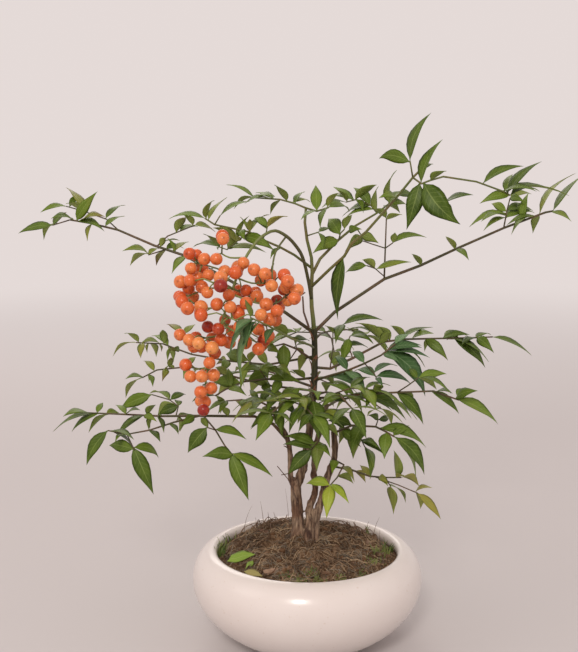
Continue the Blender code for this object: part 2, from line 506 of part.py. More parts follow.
BERRIES = [
    (-63, 311), (-88, 300), (-77, 296), (-83, 299), (-68, 296), (-87, 289), (-84, 289), (-78.5, 289), (-74, 284),
    (-62, 287), (-54, 286), (-48, 293), (-52, 290), (-40, 288), (-32, 285), (-35, 280), (-28, 284), (-27, 276),
    (-17.6, 284), (-15, 279.5), (-16, 275), (-8, 272.5), (-10, 266.5), (-15, 265), (-95, 279), (-88, 280),
    (-82, 282), (-79, 275), (-75, 271), (-89, 274), (-95, 267), (-94, 264), (-86, 267.5), (-90, 259), (-80, 260),
    (-80, 254), (-65, 282), (-65, 276), (-59, 269), (-46, 272.5), (-52, 272), (-39, 271), (-38, 268), (-68, 262),
    (-58, 260), (-52, 255), (-46, 263), (-62, 250), (-31, 262), (-35, 254), (-23, 257), (-28.5, 250.5),
    (-24, 250), (-23, 265), (-75, 245), (-67, 243.5), (-57, 242), (-51, 245), (-37, 243), (-29.5, 238),
    (-33, 235), (-71.5, 236), (-65, 235), (-59, 233), (-47, 233), (-37, 228), (-96, 239), (-89, 235), (-84, 237),
    (-85.5, 230), (-82, 232.5), (-72, 229), (-70, 225), (-74, 217.5), (-92, 216), (-88.5, 207), (-80, 207),
    (-71, 208), (-77, 209), (-73, 198), (-81, 195), (-78, 187.5), (-81, 188), (-79, 181)]
PANICLE = [
    (1.3, 0.9, [(2.7, 266, 0), (0.6, 279, 9), (-3.8, 297, 20), (-9.5, 306.5, 27), (-16, 313, 33),
                (-24, 317, 39), (-30.5, 315, 42), (-37, 310, 45), (-44.5, 300, 48), (-52, 285, 50)]),
    (0.9, 0.6, [(-52, 285, 50), (-58, 268, 52), (-64, 250, 53), (-70, 232, 53), (-75, 214, 52), (-78, 196, 51),
                (-79, 186, 50)]),
    (0.7, 0.5, [(-16, 313, 33), (-24, 301, 44), (-26.5, 287, 54), (-26, 277, 60)]),
    (0.7, 0.5, [(-46, 297, 48), (-58, 297, 50), (-64, 300, 50)]),
    (0.7, 0.5, [(-53, 283, 50), (-68, 289, 46), (-82, 293, 44)]),
    (0.7, 0.5, [(-56, 274, 51), (-73, 274, 46), (-90, 268, 44)]),
    (0.7, 0.5, [(-53, 282, 50), (-42, 278, 56), (-32, 278, 60)]),
    (0.7, 0.5, [(-57, 270, 52), (-42, 264, 58), (-26, 262, 60), (-14, 270, 60)]),
    (0.7, 0.5, [(-61, 259, 52), (-46, 250, 60), (-32, 246, 60)]),
    (0.7, 0.5, [(-65, 247, 53), (-52, 240, 62), (-38, 233, 60)]),
    (0.7, 0.5, [(-68, 238, 53), (-80, 236, 47), (-91, 235, 45)]),
    (0.7, 0.5, [(-60, 262, 52), (-74, 259, 56), (-84, 262, 56)]),
    (0.7, 0.5, [(-75, 214, 52), (-86, 212, 48)]),
    (0.7, 0.5, [(-58, 268, 52), (-62, 264, 34), (-66, 258, 28)]),
    (0.7, 0.5, [(-56, 274, 51), (-48, 270, 36), (-40, 266, 30)]),
    (0.7, 0.5, [(-63, 253, 53), (-59, 252, 70), (-54, 250, 76)]),
    (0.7, 0.5, [(-64, 250, 53), (-58, 243, 38), (-52, 240, 32)]),
    (0.7, 0.5, [(-56, 274, 51), (-62, 277, 68), (-70, 278, 72)])]
CANES = [
    (5.6, 3.9, [(-6, 66, 0), (-7, 82, 0), (-7.4, 100, 0), (-9, 121, 0)]),
    (2.2, 1.7, [(-8.5, 117, 0), (-12.5, 128, 0), (-13.5, 150, 0), (-17, 163, 0), (-24, 174, 1), (-25, 184, 0)]),
    (3.4, 2.2, [(-9, 119, 0), (-4, 133.5, 0), (1, 160, 0), (3.6, 187, 0), (5, 202, 0), (5.4, 224, 0),
                (4.9, 244, 0)]),
    (3.2, 1.9, [(0, 66, 4), (1.5, 90, 4), (1.5, 103, 1), (6, 117, -3), (5, 134, -7), (8, 160, -8), (15, 186, -3)]),
    (3.4, 2.2, [(5, 66, 2), (6.4, 92, 3), (10.8, 110, 3), (16, 130, 2), (21, 145, 2), (20, 165, 2)]),
]


def stalk_point(stalks, x, z, taken=()):
    """The place on these stalks that looks nearest to (x, z) from the front, as (x, z, toward), and clear of
    the places that are taken."""
    best = None
    least_off = math.inf
    for _, _, route in stalks:
        for a, b in zip(route, route[1:]):
            run = Vector((b[0] - a[0], b[1] - a[1]))
            share = Vector((x - a[0], z - a[1])).dot(run) / max(run.length_squared, 1e-6)
            share = min(1.0, max(0.0, share))
            step = NODE_SPACE / (Vector(b) - Vector(a)).length
            for shift in (0, -1, 1, -2, 2, -3):
                along = share + shift * step
                spot = Vector(a).lerp(Vector(b), along)
                if 0.0 <= along <= 1.0 and all((spot - other).length > NODE_SPACE * 0.95 for other in taken):
                    off = math.hypot(spot.x - x, spot.y - z)
                    if off < least_off - 1e-6:
                        best = spot
                        least_off = off
                    break
    return best


def paired_leaflets(stalks, seed):
    """Leaflets for a frond that is seen end on: opposite pairs along its stalks, and one at each end."""
    draw = random.Random(seed)
    rows = []
    for _, _, route in stalks:
        points = [seen(*spot) for spot in route]
        main = len(route) > 3
        for i in range(1, len(points)):
            ahead = (points[i] - points[i - 1]).normalized()
            side = ahead.cross(Vector((0, 0, 1))).normalized()
            for sign in (1, -1):
                heading = (ahead * 0.75 + side * sign + Vector((0, 0, draw.uniform(-0.45, 0.1)))).normalized()
                if not (main and i == 1):
                    node = points[i] - ahead * NODE_SPACE * (1.1 + 0.45 * sign)
                    rows.append((node, heading * draw.uniform(23, 29)))
            if i == len(points) - 1:
                node = points[i] - ahead * NODE_SPACE * 0.3
                rows.append((node, (ahead + Vector((0, 0, -0.35))).normalized() * draw.uniform(28, 33)))
    return rows


def placed_route(route, radius_start, radius_end):
    """A stalk's points in space and its radius at each, which tapers evenly from point to point."""
    points = [seen(*spot) for spot in route]
    radii = [radius_start + (radius_end - radius_start) * i / (len(points) - 1) for i in range(len(points))]
    return points, radii


def stalk_meshes(stalks, sides):
    return [tube_mesh(*placed_route(route, first, last), sides[min(i, 1)])
            for i, (first, last, route) in enumerate(stalks)]


def leaflets_of(name, stalks, rows, room, own, seed):
    """The frond's leaflets as (points, faces), each bent clear of all that is placed."""
    draw = random.Random(seed)
    wishes = []
    taken = []
    for row in rows:
        x, z, tip_x, tip_z, shown = row[:5]
        spot = stalk_point(stalks, x, z, taken)
        taken.append(spot)
        base = seen(*spot)
        flat = math.hypot(tip_x - x, tip_z - z)
        full = max(flat, min(flat * 1.7, draw.uniform(23, 31)))
        lean = math.sqrt(full * full - flat * flat) * draw.choice((-1, 1))
        lean = row[5] if len(row) > 5 else lean
        tip = seen(tip_x, tip_z, spot[2] + lean)
        width = max(shown, SLENDERNESS * (tip - base).length)
        wishes.append((base, tip, width, blade_normal(base, tip, width, shown)))
    if name in PAIRED:
        for base, reach in paired_leaflets(stalks, PAIRED[name]):
            flat_up = Vector((draw.uniform(-0.3, 0.3), draw.uniform(-0.3, 0.3), 1.0))
            wishes.append((base, base + reach, SLENDERNESS * reach.length * 1.1, flat_up))
    made = []
    for base, tip, width, normal in wishes:
        reach = tip - base
        for depth, lift in SWINGS:
            swung = reach + Vector((0.0, depth, lift)) * reach.length
            end = base + swung.normalized() * reach.length
            full = leaflet_mesh(base, end, normal, width, spare=GAP)
            outer = leaflet_mesh(base, end, normal, width, spare=0.15, start=0.2)
            if room.clear(*full) and own.clear(*outer):
                blade = leaflet_mesh(base, end, normal, width)
                own.add(*blade)
                made.append((reach.length * width, blade))
                break
    return made


def berry_places():
    """Every berry's centre: those seen from the front, each as far forward as the others leave room for, and
    more behind them, so that the cluster is as full at the back."""
    draw = random.Random(11)
    centres = []
    branches = PANICLE[1:]

    def settle(x, z, depths):
        spot = stalk_point(branches, x, z)
        for share in depths:
            toward = spot[2] + share * PANICLE_HALF_DEPTH + draw.uniform(-1.5, 1.5)
            here = seen(x, z, toward)
            off_branch = (nearest_branch_point(here) - here).length > BERRY_DIAMETER * 0.62
            if off_branch and all((here - other).length > BERRY_PITCH for other in centres):
                centres.append(here)
                return

    for x, z in BERRIES:
        settle(x, z, (0.45, 0.75, 0.2, 0.0, -0.3, -0.6, 1.0))
    for x, z in BERRIES[::5]:
        if z > 225:
            settle(x + draw.uniform(-3, 3), z + draw.uniform(-3, 3), (-0.75, -0.45, -1.0))
    return centres


def berry_mesh(centre):
    """A round berry of twenty faces."""
    radius = BERRY_DIAMETER / 2 * 1.06
    height = radius / math.sqrt(5)
    reach = 2 * height
    points = [centre + Vector((0, 0, radius))]
    for level, offset in ((height, 0.0), (-height, 0.5)):
        points += [centre + Vector((math.cos(a) * reach, math.sin(a) * reach, level))
                   for a in (math.tau * (k + offset) / 5 for k in range(5))]
    points.append(centre - Vector((0, 0, radius)))
    faces = []
    for k in range(5):
        n = (k + 1) % 5
        faces += [(0, 1 + k, 1 + n), (1 + k, 6 + k, 1 + n), (1 + n, 6 + k, 6 + n), (11, 6 + n, 6 + k)]
    return points, faces


def nearest_branch_point(centre):
    """The place on the cluster's branchlets nearest to a berry."""
    best = None
    for _, _, route in PANICLE[1:]:
        points = [seen(*spot) for spot in route]
        for a, b in zip(points, points[1:]):
            share = min(1.0, max(0.0, (centre - a).dot(b - a) / (b - a).length_squared))
            spot = a + (b - a) * share
            if best is None or (spot - centre).length < (best - centre).length:
                best = spot
    return best


def pedicel_mesh(centre):
    """The thin stalk from the nearest branchlet into a berry."""
    root = nearest_branch_point(centre)
    inside = centre + (root - centre).normalized() * BERRY_DIAMETER * 0.25
    return tube_mesh([root, inside], [PEDICEL_RADIUS, PEDICEL_RADIUS], 3)


def pot_profile():
    """The bowl's outer outline from the foot up to the crest of the lip, as (radius, z)."""
    return [(POT_FOOT_RADIUS, 0.0), (51.5, 4.0), (64.5, 12.0), (76.5, 22.5), (85.0, 35.0),
            (POT_RADIUS, POT_BELLY), (86.6, 60.5), (81.2, 69.0), (POT_LIP_RADIUS, POT_HEIGHT)]


def pot_inside():
    """The bowl's inner outline, from the lip down to the floor."""
    return [(69.4, 70.4), (70.3, 64.0), (79.0, 58.0), (POT_RADIUS - POT_WALL, POT_BELLY), (78.2, 37.0),
            (67.0, 22.0), (44.0, POT_FLOOR)]


def soil_height(x, y):
    """The mounded top of the soil with low lumps, in mm above the pot's foot."""
    out = min(1.0, math.hypot(x - CROWN_CENTRE[0], y - CROWN_CENTRE[1]) / SOIL_RADIUS)
    lumps = (math.sin(x * 0.21 + 1.3) * math.cos(y * 0.17 - 0.4) + 0.6 * math.sin(x * 0.09 - y * 0.31))
    behind = SOIL_BACK_RISE * y / SOIL_RADIUS * (1 - out ** 6)
    return SOIL_RIM + (SOIL_CROWN - SOIL_RIM) * (1 - out ** 2.4) + behind + 1.1 * lumps * min(1.0, 4 * (1 - out))


def build_pot():
    profile = [(0.0, 0.0)] + pot_profile() + pot_inside() + [(0.0, POT_FLOOR)]
    pot = turned("pot", profile, POT_SIDES, GLAZE)
    for k in range(3):
        turn = math.tau * (k + 0.25) / 3
        place = (DRAIN_RING * MM * math.cos(turn), DRAIN_RING * MM * math.sin(turn), POT_FLOOR / 2 * MM)
        bpy.ops.mesh.primitive_cylinder_add(vertices=DRAIN_SIDES, radius=DRAIN_DIAMETER / 2 * MM,
                                            depth=POT_FLOOR * 4 * MM, location=place)
        apply_boolean(pot, "DIFFERENCE", bpy.context.object)
    pot.data.shade_smooth()
    pot.data.set_sharp_from_angle(angle=math.radians(40))


def build_soil():
    """The soil fills the bowl. Its top is a fan of rings that follows soil_height round the crown's hole."""
    hole = CROWN_RADIUS + 2 * GAP
    below = [(r - SOIL_CLEARANCE, z - SOIL_CLEARANCE if z > POT_BELLY else z + GAP) for r, z in pot_inside()[1:]]
    turns = [math.tau * k / SOIL_SIDES for k in range(SOIL_SIDES)]
    points = []
    cx, cy = CROWN_CENTRE
    rings = [[(cx + hole * math.cos(a), cy + hole * math.sin(a), CROWN_HOLE_FLOOR)
              for a in turns]]
    for share in (0.0, 0.3, 0.62, 0.86, 1.0):
        ring = []
        for a in turns:
            x = (cx + hole * math.cos(a)) * (1 - share) + SOIL_RADIUS * math.cos(a) * share
            y = (cy + hole * math.sin(a)) * (1 - share) + SOIL_RADIUS * math.sin(a) * share
            ring.append((x, y, soil_height(x, y)))
        rings.append(ring)
    for r, z in below:
        rings.append([(r * math.cos(a), r * math.sin(a), z) for a in turns])
    for ring in rings:
        points += ring
    faces = []
    for i in range(len(rings) - 1):
        for k in range(SOIL_SIDES):
            a, b = i * SOIL_SIDES + k, i * SOIL_SIDES + (k + 1) % SOIL_SIDES
            faces += [(a, a + SOIL_SIDES, b), (b, a + SOIL_SIDES, b + SOIL_SIDES)]
    top, bottom = len(points), len(points) + 1
    points += [(cx, cy, CROWN_HOLE_FLOOR), (0.0, 0.0, POT_FLOOR + GAP)]
    last = (len(rings) - 1) * SOIL_SIDES
    for k in range(SOIL_SIDES):
        n = (k + 1) % SOIL_SIDES
        faces += [(top, k, n), (bottom, last + n, last + k)]
    mesh_object("soil", points, faces, EARTH)


def crown_mesh():
    """The root crown in its hole in the soil, which the canes rise from."""
    cx, cy = CROWN_CENTRE
    points = []
    for z, radius in ((CROWN_HOLE_FLOOR + GAP, 9.0), (56.0, CROWN_RADIUS), (76.5, CROWN_RADIUS), (79.5, 10.5)):
        points.append((Vector((cx, cy, z)), radius))
    return tube_mesh([p for p, _ in points], [r for _, r in points], CROWN_SIDES)


def objects_from(name, meshes, finish):
    return [mesh_object(f"{name}_{i}", points, faces, finish) for i, (points, faces) in enumerate(meshes)]


def fallen_leaf(name, x, y, heading, length, width):
    """A leaflet that lies on the soil and follows its lumps."""
    ahead = Vector((math.cos(heading), math.sin(heading)))
    side = Vector((-ahead.y, ahead.x))

    def on_soil(spot, lift):
        return Vector((spot.x, spot.y, soil_height(spot.x, spot.y) + lift))

    points = []
    for share, half in ((0.0, NECK), (0.25, 0.42 * width), (0.55, 0.46 * width)):
        spot = Vector((x, y)) + ahead * (length * share)
        points += [on_soil(spot - side * half, 1.9), on_soil(spot + side * half, 1.9), on_soil(spot, 0.9)]
    points.append(on_soil(Vector((x, y)) + ahead * length, 1.6))
    mesh_object(name, points, LEAFLET_FACES, FALLEN_LEAF)


def build_plant():
    """Canes, fronds and berries. Each frond's leaflets are bent clear of all that stands before them. Small
    leaflets and some berries are left out, so the solids stay light."""
    cane_meshes = [crown_mesh()] + stalk_meshes(CANES, CANE_SIDES)
    room = Room()
    for solid in cane_meshes:
        room.add(*solid)
    centres = berry_places()
    berries = [berry_mesh(centre) for centre in centres]
    pedicels = [pedicel_mesh(centre) for centre in centres]
    branches = stalk_meshes(PANICLE, BRANCH_SIDES)
    for solid in branches + pedicels + berries:
        room.add(*solid)
    kept = [i for i in range(len(berries)) if (i + 1) % BERRY_THINNING]
    panicle = branches + [pedicels[i] for i in kept] + [berries[i] for i in kept]
    stalks = {name: stalk_meshes(frond[1], STALK_SIDES) for name, frond in FRONDS.items()}
    leaflets = {}
    for name, (_, routes, rows) in FRONDS.items():
        others = Room()
        others.placed = list(room.placed)
        for other, meshes in stalks.items():
            if other != name:
                for solid in meshes:
                    others.add(*solid)
        own = Room()
        for solid in stalks[name]:
            own.add(*solid)
        leaflets[name] = leaflets_of(name, routes, rows, others, own, 100 + len(leaflets))
        for _, solid in leaflets[name]:
            room.add(*solid)
    fuse("canes", objects_from("cane", cane_meshes, BARK))
    for name in FRONDS:
        finish = YOUNG_LEAF if name in YOUNG else LEAF
        large = [solid for size, solid in leaflets[name] if size > LEAST_LEAFLET]
        fuse(name, objects_from(name, stalks[name] + large, finish))
    fuse("berry_cluster", objects_from("berry", panicle, BERRY))


def sleeve(parent):
    """The parent's stalks a little thicker, to cut a seat with clearance in what springs from them."""
    routes = CANES if parent == "canes" else FRONDS[parent][1][:1]
    return stalk_meshes([(first + GAP, last + GAP, route) for first, last, route in routes],
                        CANE_SIDES if parent == "canes" else STALK_SIDES)


def seat(name, parent):
    """Cuts the base of a frond back to a seat just off the stalk that it springs from."""
    for solid in objects_from("sleeve", sleeve(parent), BARK):
        apply_boolean(bpy.data.objects[name], "DIFFERENCE", solid)
    keep_largest_body(bpy.data.objects[name])


build_pot()
build_soil()
build_plant()
for frond, (springs_from, _, _) in FRONDS.items():
    seat(frond, springs_from)
seat("berry_cluster", "leaf_crown")
fallen_leaf("fallen_leaf_long", -63.0, -18.0, math.radians(8), 22.0, 8.0)
fallen_leaf("fallen_leaf_short", -47.0, -43.0, math.radians(-33), 17.0, 5.5)
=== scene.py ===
"""Heavenly bamboo bonsai in a cream glazed bowl, dressed for the render.

Sizes are millimetres until they reach a mesh. The tree has a front, as every bonsai has: stalks, leaflets and
berries are given as (x, z, toward), the place (x, z) where the front eye sees them against the tree's middle
plane, and how far they stand toward that eye.
"""

import math
import random

import bpy
import numpy as np
from mathutils import Matrix, Vector, noise
from mathutils.bvhtree import BVHTree


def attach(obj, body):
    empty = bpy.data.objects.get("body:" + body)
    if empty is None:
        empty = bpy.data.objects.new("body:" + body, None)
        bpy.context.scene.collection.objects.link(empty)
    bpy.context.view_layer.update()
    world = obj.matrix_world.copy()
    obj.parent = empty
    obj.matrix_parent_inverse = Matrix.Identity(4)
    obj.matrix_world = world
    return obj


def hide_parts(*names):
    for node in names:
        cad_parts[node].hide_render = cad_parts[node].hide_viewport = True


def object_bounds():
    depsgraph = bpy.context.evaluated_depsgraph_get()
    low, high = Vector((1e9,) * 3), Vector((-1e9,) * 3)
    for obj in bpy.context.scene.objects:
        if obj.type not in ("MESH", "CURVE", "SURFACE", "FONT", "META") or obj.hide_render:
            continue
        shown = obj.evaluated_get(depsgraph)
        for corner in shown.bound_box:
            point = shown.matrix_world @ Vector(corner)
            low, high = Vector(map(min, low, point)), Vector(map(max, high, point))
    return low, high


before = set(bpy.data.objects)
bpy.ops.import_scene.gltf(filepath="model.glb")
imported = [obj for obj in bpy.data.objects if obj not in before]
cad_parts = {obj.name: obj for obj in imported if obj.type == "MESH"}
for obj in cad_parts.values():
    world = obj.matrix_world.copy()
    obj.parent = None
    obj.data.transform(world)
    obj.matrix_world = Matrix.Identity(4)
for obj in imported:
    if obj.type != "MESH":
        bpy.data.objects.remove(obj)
cad_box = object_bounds()
MM = 0.001

# A squashed round bonsai bowl, thrown in stoneware clay and glazed cream all over. The rim is rolled inward and
# stays thick; the foot is flat, with three drain holes cut through the floor before firing.
BOWL_TURNS = 160
BOWL_FOOT = 42.0
BOWL_FLOOR = 7.0
BOWL_OUTSIDE = [(0.0, 0.0), (25.0, 0.0), (BOWL_FOOT - 1.0, 0.0), (BOWL_FOOT + 1.0, 0.5), (47.0, 2.1), (51.5, 4.2),
                (58.0, 7.9), (64.5, 12.3), (70.8, 17.2), (76.5, 22.8), (81.3, 28.8), (85.1, 35.2), (87.5, 42.0),
                (88.4, 49.0), (88.1, 55.0), (86.7, 60.4), (84.4, 65.0), (81.2, 68.8), (77.4, 71.7), (73.2, 72.9)]
BOWL_INSIDE = [(71.0, 72.2), (69.7, 70.4), (69.4, 67.6), (70.3, 64.2), (74.2, 60.8), (79.0, 58.0), (82.0, 49.0),
               (78.2, 37.0), (67.0, 22.0), (44.0, BOWL_FLOOR), (20.0, BOWL_FLOOR), (0.0, BOWL_FLOOR)]
DRAIN_RADIUS = 4.0
DRAIN_RING = 27.0


def select_only(*objects):
    """Selects these objects and makes the first one active."""
    bpy.ops.object.select_all(action="DESELECT")
    for obj in objects:
        obj.select_set(True)
    bpy.context.view_layer.objects.active = objects[0]


def mesh_object(name, points, faces, finish=None):
    mesh = bpy.data.meshes.new(name)
    mesh.from_pydata([tuple(Vector(p) * MM) for p in points], [], faces)
    if finish:
        mesh.materials.append(finish)
    obj = bpy.data.objects.new(name, mesh)
    bpy.context.scene.collection.objects.link(obj)
    return obj


def apply_modifier(obj, kind, **settings):
    """Adds a modifier with these settings and applies it."""
    modifier = obj.modifiers.new(kind.lower(), kind)
    for key, value in settings.items():
        setattr(modifier, key, value)
    select_only(obj)
    bpy.ops.object.modifier_apply(modifier=modifier.name)


def turned(name, outline, turns):
    """A solid of revolution spun from an outline that runs from the axis round to the axis."""
    obj = mesh_object(name, [(r, 0.0, z) for r, z in outline], [])
    obj.data.edges.add(len(outline) - 1)
    for i, edge in enumerate(obj.data.edges):
        edge.vertices = (i, i + 1)
    select_only(obj)
    bpy.ops.object.mode_set(mode="EDIT")
    bpy.ops.mesh.select_all(action="SELECT")
    bpy.ops.mesh.spin(steps=turns, angle=math.tau, center=(0, 0, 0), axis=(0, 0, 1))
    bpy.ops.mesh.select_all(action="SELECT")
    bpy.ops.mesh.remove_doubles(threshold=0.00002)
    bpy.ops.mesh.normals_make_consistent(inside=False)
    bpy.ops.object.mode_set(mode="OBJECT")
    return obj


def linear(code):
    """A sRGB hex colour in linear light, as a socket takes it."""
    shares = [int(code[i:i + 2], 16) / 255 for i in (1, 3, 5)]
    return (*(c / 12.92 if c <= 0.04045 else ((c + 0.055) / 1.055) ** 2.4 for c in shares), 1.0)


def add_node(finish, kind, inputs, **settings):
    """Adds a node to a material. An input is set to a value, or linked from a socket."""
    node = finish.node_tree.nodes.new(kind)
    for key, value in settings.items():
        setattr(node, key, value)
    for key, value in inputs.items():
        if isinstance(value, bpy.types.NodeSocket):
            finish.node_tree.links.new(value, node.inputs[key])
        else:
            node.inputs[key].default_value = value
    return node


def new_finish(name, **sockets):
    """A material with one Principled shader, whose sockets with these names are set."""
    finish = bpy.data.materials.new(name)
    finish.use_nodes = True
    shader = finish.node_tree.nodes["Principled BSDF"]
    for key, value in sockets.items():
        shader.inputs[key.replace("_", " ")].default_value = value
    return finish, shader


def object_place(finish):
    """Coordinates over the object itself, in metres."""
    return add_node(finish, "ShaderNodeTexCoord", {}).outputs["Object"]


def noise_over(finish, where, scale, detail, **more):
    """A noise texture over these coordinates."""
    return add_node(finish, "ShaderNodeTexNoise", {"Vector": where, "Scale": scale, "Detail": detail, **more})


def spread(finish, value, low, high, top=1.0, **settings):
    """Grows from 0 where the value is low to top where it is high."""
    return add_node(finish, "ShaderNodeMapRange",
                    {"Value": value, "From Min": low, "From Max": high, "To Max": top}, **settings)


def blend(finish, share, first, second):
    """Two colours mixed by a share, each a hex code or a socket."""
    first, second = (linear(c) if isinstance(c, str) else c for c in (first, second))
    return add_node(finish, "ShaderNodeMix", {0: share, 6: first, 7: second}, data_type="RGBA")


def calculated(finish, operation, *values):
    """A sum or other operation on values or sockets."""
    return add_node(finish, "ShaderNodeMath", dict(enumerate(values)), operation=operation)


def feed(shader, key, socket):
    """Links a socket into one of a shader's inputs."""
    shader.id_data.links.new(socket, shader.inputs[key])


def relief(finish, shader, height, strength, distance):
    """Gives a shader fine relief from a height."""
    bump = add_node(finish, "ShaderNodeBump", {"Height": height, "Strength": strength, "Distance": distance})
    feed(shader, "Normal", bump.outputs[0])


# Stoneware under a glossy cream glaze: warm white, with very faint clouding and a slightly uneven gloss from the
# kiln.
cream_glaze, shader = new_finish("cream_glaze", Roughness=0.26, IOR=1.5, Coat_Weight=0.3, Coat_Roughness=0.1)
place = object_place(cream_glaze)
clouds = noise_over(cream_glaze, place, 22.0, 3.0)
cloudy = blend(cream_glaze, clouds.outputs["Fac"], "#E6DED9", "#DCD1CB")
specks = noise_over(cream_glaze, place, 420.0, 1.0)
few_specks = spread(cream_glaze, specks.outputs["Fac"], 0.70, 0.78, 0.35)
speckled = blend(cream_glaze, few_specks.outputs[0], cloudy.outputs[2], "#CDB9A6")
feed(shader, "Base Color", speckled.outputs[2])
ripple = noise_over(cream_glaze, place, 45.0, 2.0)
relief(cream_glaze, shader, ripple.outputs["Fac"], 0.10, 0.0008)

bowl = turned("bowl_glazed", BOWL_OUTSIDE + BOWL_INSIDE, BOWL_TURNS)
bowl.data.materials.append(cream_glaze)
for k in range(3):
    turn = math.tau * (k + 0.25) / 3
    bpy.ops.mesh.primitive_cylinder_add(vertices=32, radius=DRAIN_RADIUS * MM, depth=4 * BOWL_FLOOR * MM,
                                        location=(DRAIN_RING * MM * math.cos(turn),
                                                  DRAIN_RING * MM * math.sin(turn), BOWL_FLOOR / 2 * MM))
    drill = bpy.context.object
    apply_modifier(bowl, "BOOLEAN", operation="DIFFERENCE", solver="EXACT", object=drill)
    bpy.data.objects.remove(drill, do_unlink=True)
select_only(bowl)
bpy.ops.object.shade_smooth_by_angle(angle=math.radians(40))
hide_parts("pot")
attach(bowl, "root")

# Dark potting soil with peat and clay clods, mounded toward the canes and heaped behind them, pressed in by hand
# up to just under the rolled rim. Its top is broken into clods and crumbs.
SOIL_RIM = 64.5
SOIL_CROWN = 78.0
SOIL_RADIUS = 68.9
SOIL_BACK_RISE = 5.0
SOIL_TURNS = 200
SOIL_RING = 1.15
SOIL_UNDER = [(77.6, 56.6), (80.6, 49.4), (76.9, 37.4), (65.7, 22.4), (42.7, 7.4), (0.0, 7.4)]
CROWN_AT = (-2.0, 0.0)
HEAPS = [(-6.0, -22.0, 9.5, 3.8), (6.0, -25.0, 7.0, 2.4), (-50.0, 4.0, 13.0, 3.2)]


def soil_height(x, y):
    """The mounded top of the soil with its low lumps, above the bowl's foot."""
    out = min(1.0, math.hypot(x - CROWN_AT[0], y - CROWN_AT[1]) / SOIL_RADIUS)
    lumps = (math.sin(x * 0.21 + 1.3) * math.cos(y * 0.17 - 0.4) + 0.6 * math.sin(x * 0.09 - y * 0.31))
    behind = SOIL_BACK_RISE * y / SOIL_RADIUS * (1 - out ** 6)
    return SOIL_RIM + (SOIL_CROWN - SOIL_RIM) * (1 - out ** 2.4) + behind + 1.1 * lumps * min(1.0, 4 * (1 - out))


def clods(x, y):
    """How far clods and crumbs stand out of the soil, largest where it is loose and least at the rim."""
    broad = noise.noise(Vector((x, y, 3.0)) / 9.0) * 2.2
    clod = max(0.0, noise.noise(Vector((x, y, 9.0)) / 4.2) + 0.1) * 2.8
    crumb = noise.noise(Vector((x, y, 5.0)) / 1.7) * 0.9
    edge = SOIL_RADIUS - math.hypot(x, y)
    return (broad + clod + crumb) * min(1.0, edge / 6.0)


def soil_top(x, y):
    """The broken surface, closed over the root crown round the canes."""
    near = math.hypot(x - CROWN_AT[0], y - CROWN_AT[1]) / 19.0
    heaps = sum(high * max(0.0, 1.0 - ((x - at_x) ** 2 + (y - at_y) ** 2) / wide ** 2)
                for at_x, at_y, wide, high in HEAPS)
    return soil_height(x, y) + clods(x, y) + 2.2 * max(0.0, 1.0 - near * near) + heaps


# Moist potting soil: peat and loam, matt, near black-brown in patches, with redder clay and grey dry crumbs.
potting_soil, shader = new_finish("potting_soil", Roughness=0.95, Specular_IOR_Level=0.25)
place = object_place(potting_soil)
patches = noise_over(potting_soil, place, 55.0, 4.0)
grains = noise_over(potting_soil, place, 520.0, 4.0, Roughness=0.7)
patchy = spread(potting_soil, patches.outputs["Fac"], 0.38, 0.64)
grainy = spread(potting_soil, grains.outputs["Fac"], 0.4, 0.72)
loam = blend(potting_soil, patchy.outputs[0], "#32241A", "#64482F")
dusty = blend(potting_soil, grainy.outputs[0], loam.outputs[2], "#917860")
feed(shader, "Base Color", dusty.outputs[2])
relief(potting_soil, shader, grains.outputs["Fac"], 0.8, 0.0009)

top_rings = int(SOIL_RADIUS / SOIL_RING)
soil = turned("soil_mound", [(SOIL_RADIUS * i / top_rings, SOIL_CROWN) for i in range(top_rings + 1)] + SOIL_UNDER,
              SOIL_TURNS)
soil.data.materials.append(potting_soil)
for point in soil.data.vertices:
    x, y, z = point.co / MM
    if z > SOIL_CROWN - 0.5:
        point.co.z = soil_top(x, y) * MM
soil.data.shade_smooth()
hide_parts("soil")
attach(soil, "root")


def lay_on_soil(draw, reach):
    """A random place on the soil, within this share of its radius."""
    turn = draw.uniform(0.0, math.tau)
    out = SOIL_RADIUS * reach * math.sqrt(draw.random())
    return out * math.cos(turn), out * math.sin(turn)


def joined(name, pieces, body="root"):
    """The pieces as one object with this name, riding on the body."""
    select_only(*pieces)
    if len(pieces) > 1:
        bpy.ops.object.join()
    whole = bpy.context.view_layer.objects.active
    whole.name = name
    whole.data.name = name
    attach(whole, body)
    return whole


def twin(obj):
    """A copy of an object with a mesh of its own."""
    copy = obj.copy()
    copy.data = obj.data.copy()
    bpy.context.scene.collection.objects.link(copy)
    return copy


def paint(obj, label, values):
    """Gives each point of a mesh a value that its material reads."""
    obj.data.attributes.new(label, "FLOAT", "POINT").data.foreach_set("value", values)


# Loose crumbs of the same soil, from 1.5 to 6 mm, that lie on the surface or are half sunk in it. A few are of
# redder baked clay.
CRUMBS = 420
CRUMB_REACH = 0.93
SMALLEST_CRUMB = 1.5
CRUMB_SPREAD = 4.5
SMALL_CRUMB = 3.4
CRUMB_LIFT = 0.14

baked_clay, shader = new_finish("baked_clay", Roughness=0.9, Specular_IOR_Level=0.3)
place = object_place(baked_clay)
mottle = noise_over(baked_clay, place, 240.0, 3.0)
reddish = blend(baked_clay, mottle.outputs["Fac"], "#4A3625", "#765438")
feed(shader, "Base Color", reddish.outputs[2])


crumb_balls = {}
for fineness in (1, 2):
    bpy.ops.object.select_all(action="DESELECT")
    bpy.ops.mesh.primitive_ico_sphere_add(subdivisions=fineness, radius=0.5 * MM)
    crumb_balls[fineness] = bpy.context.object


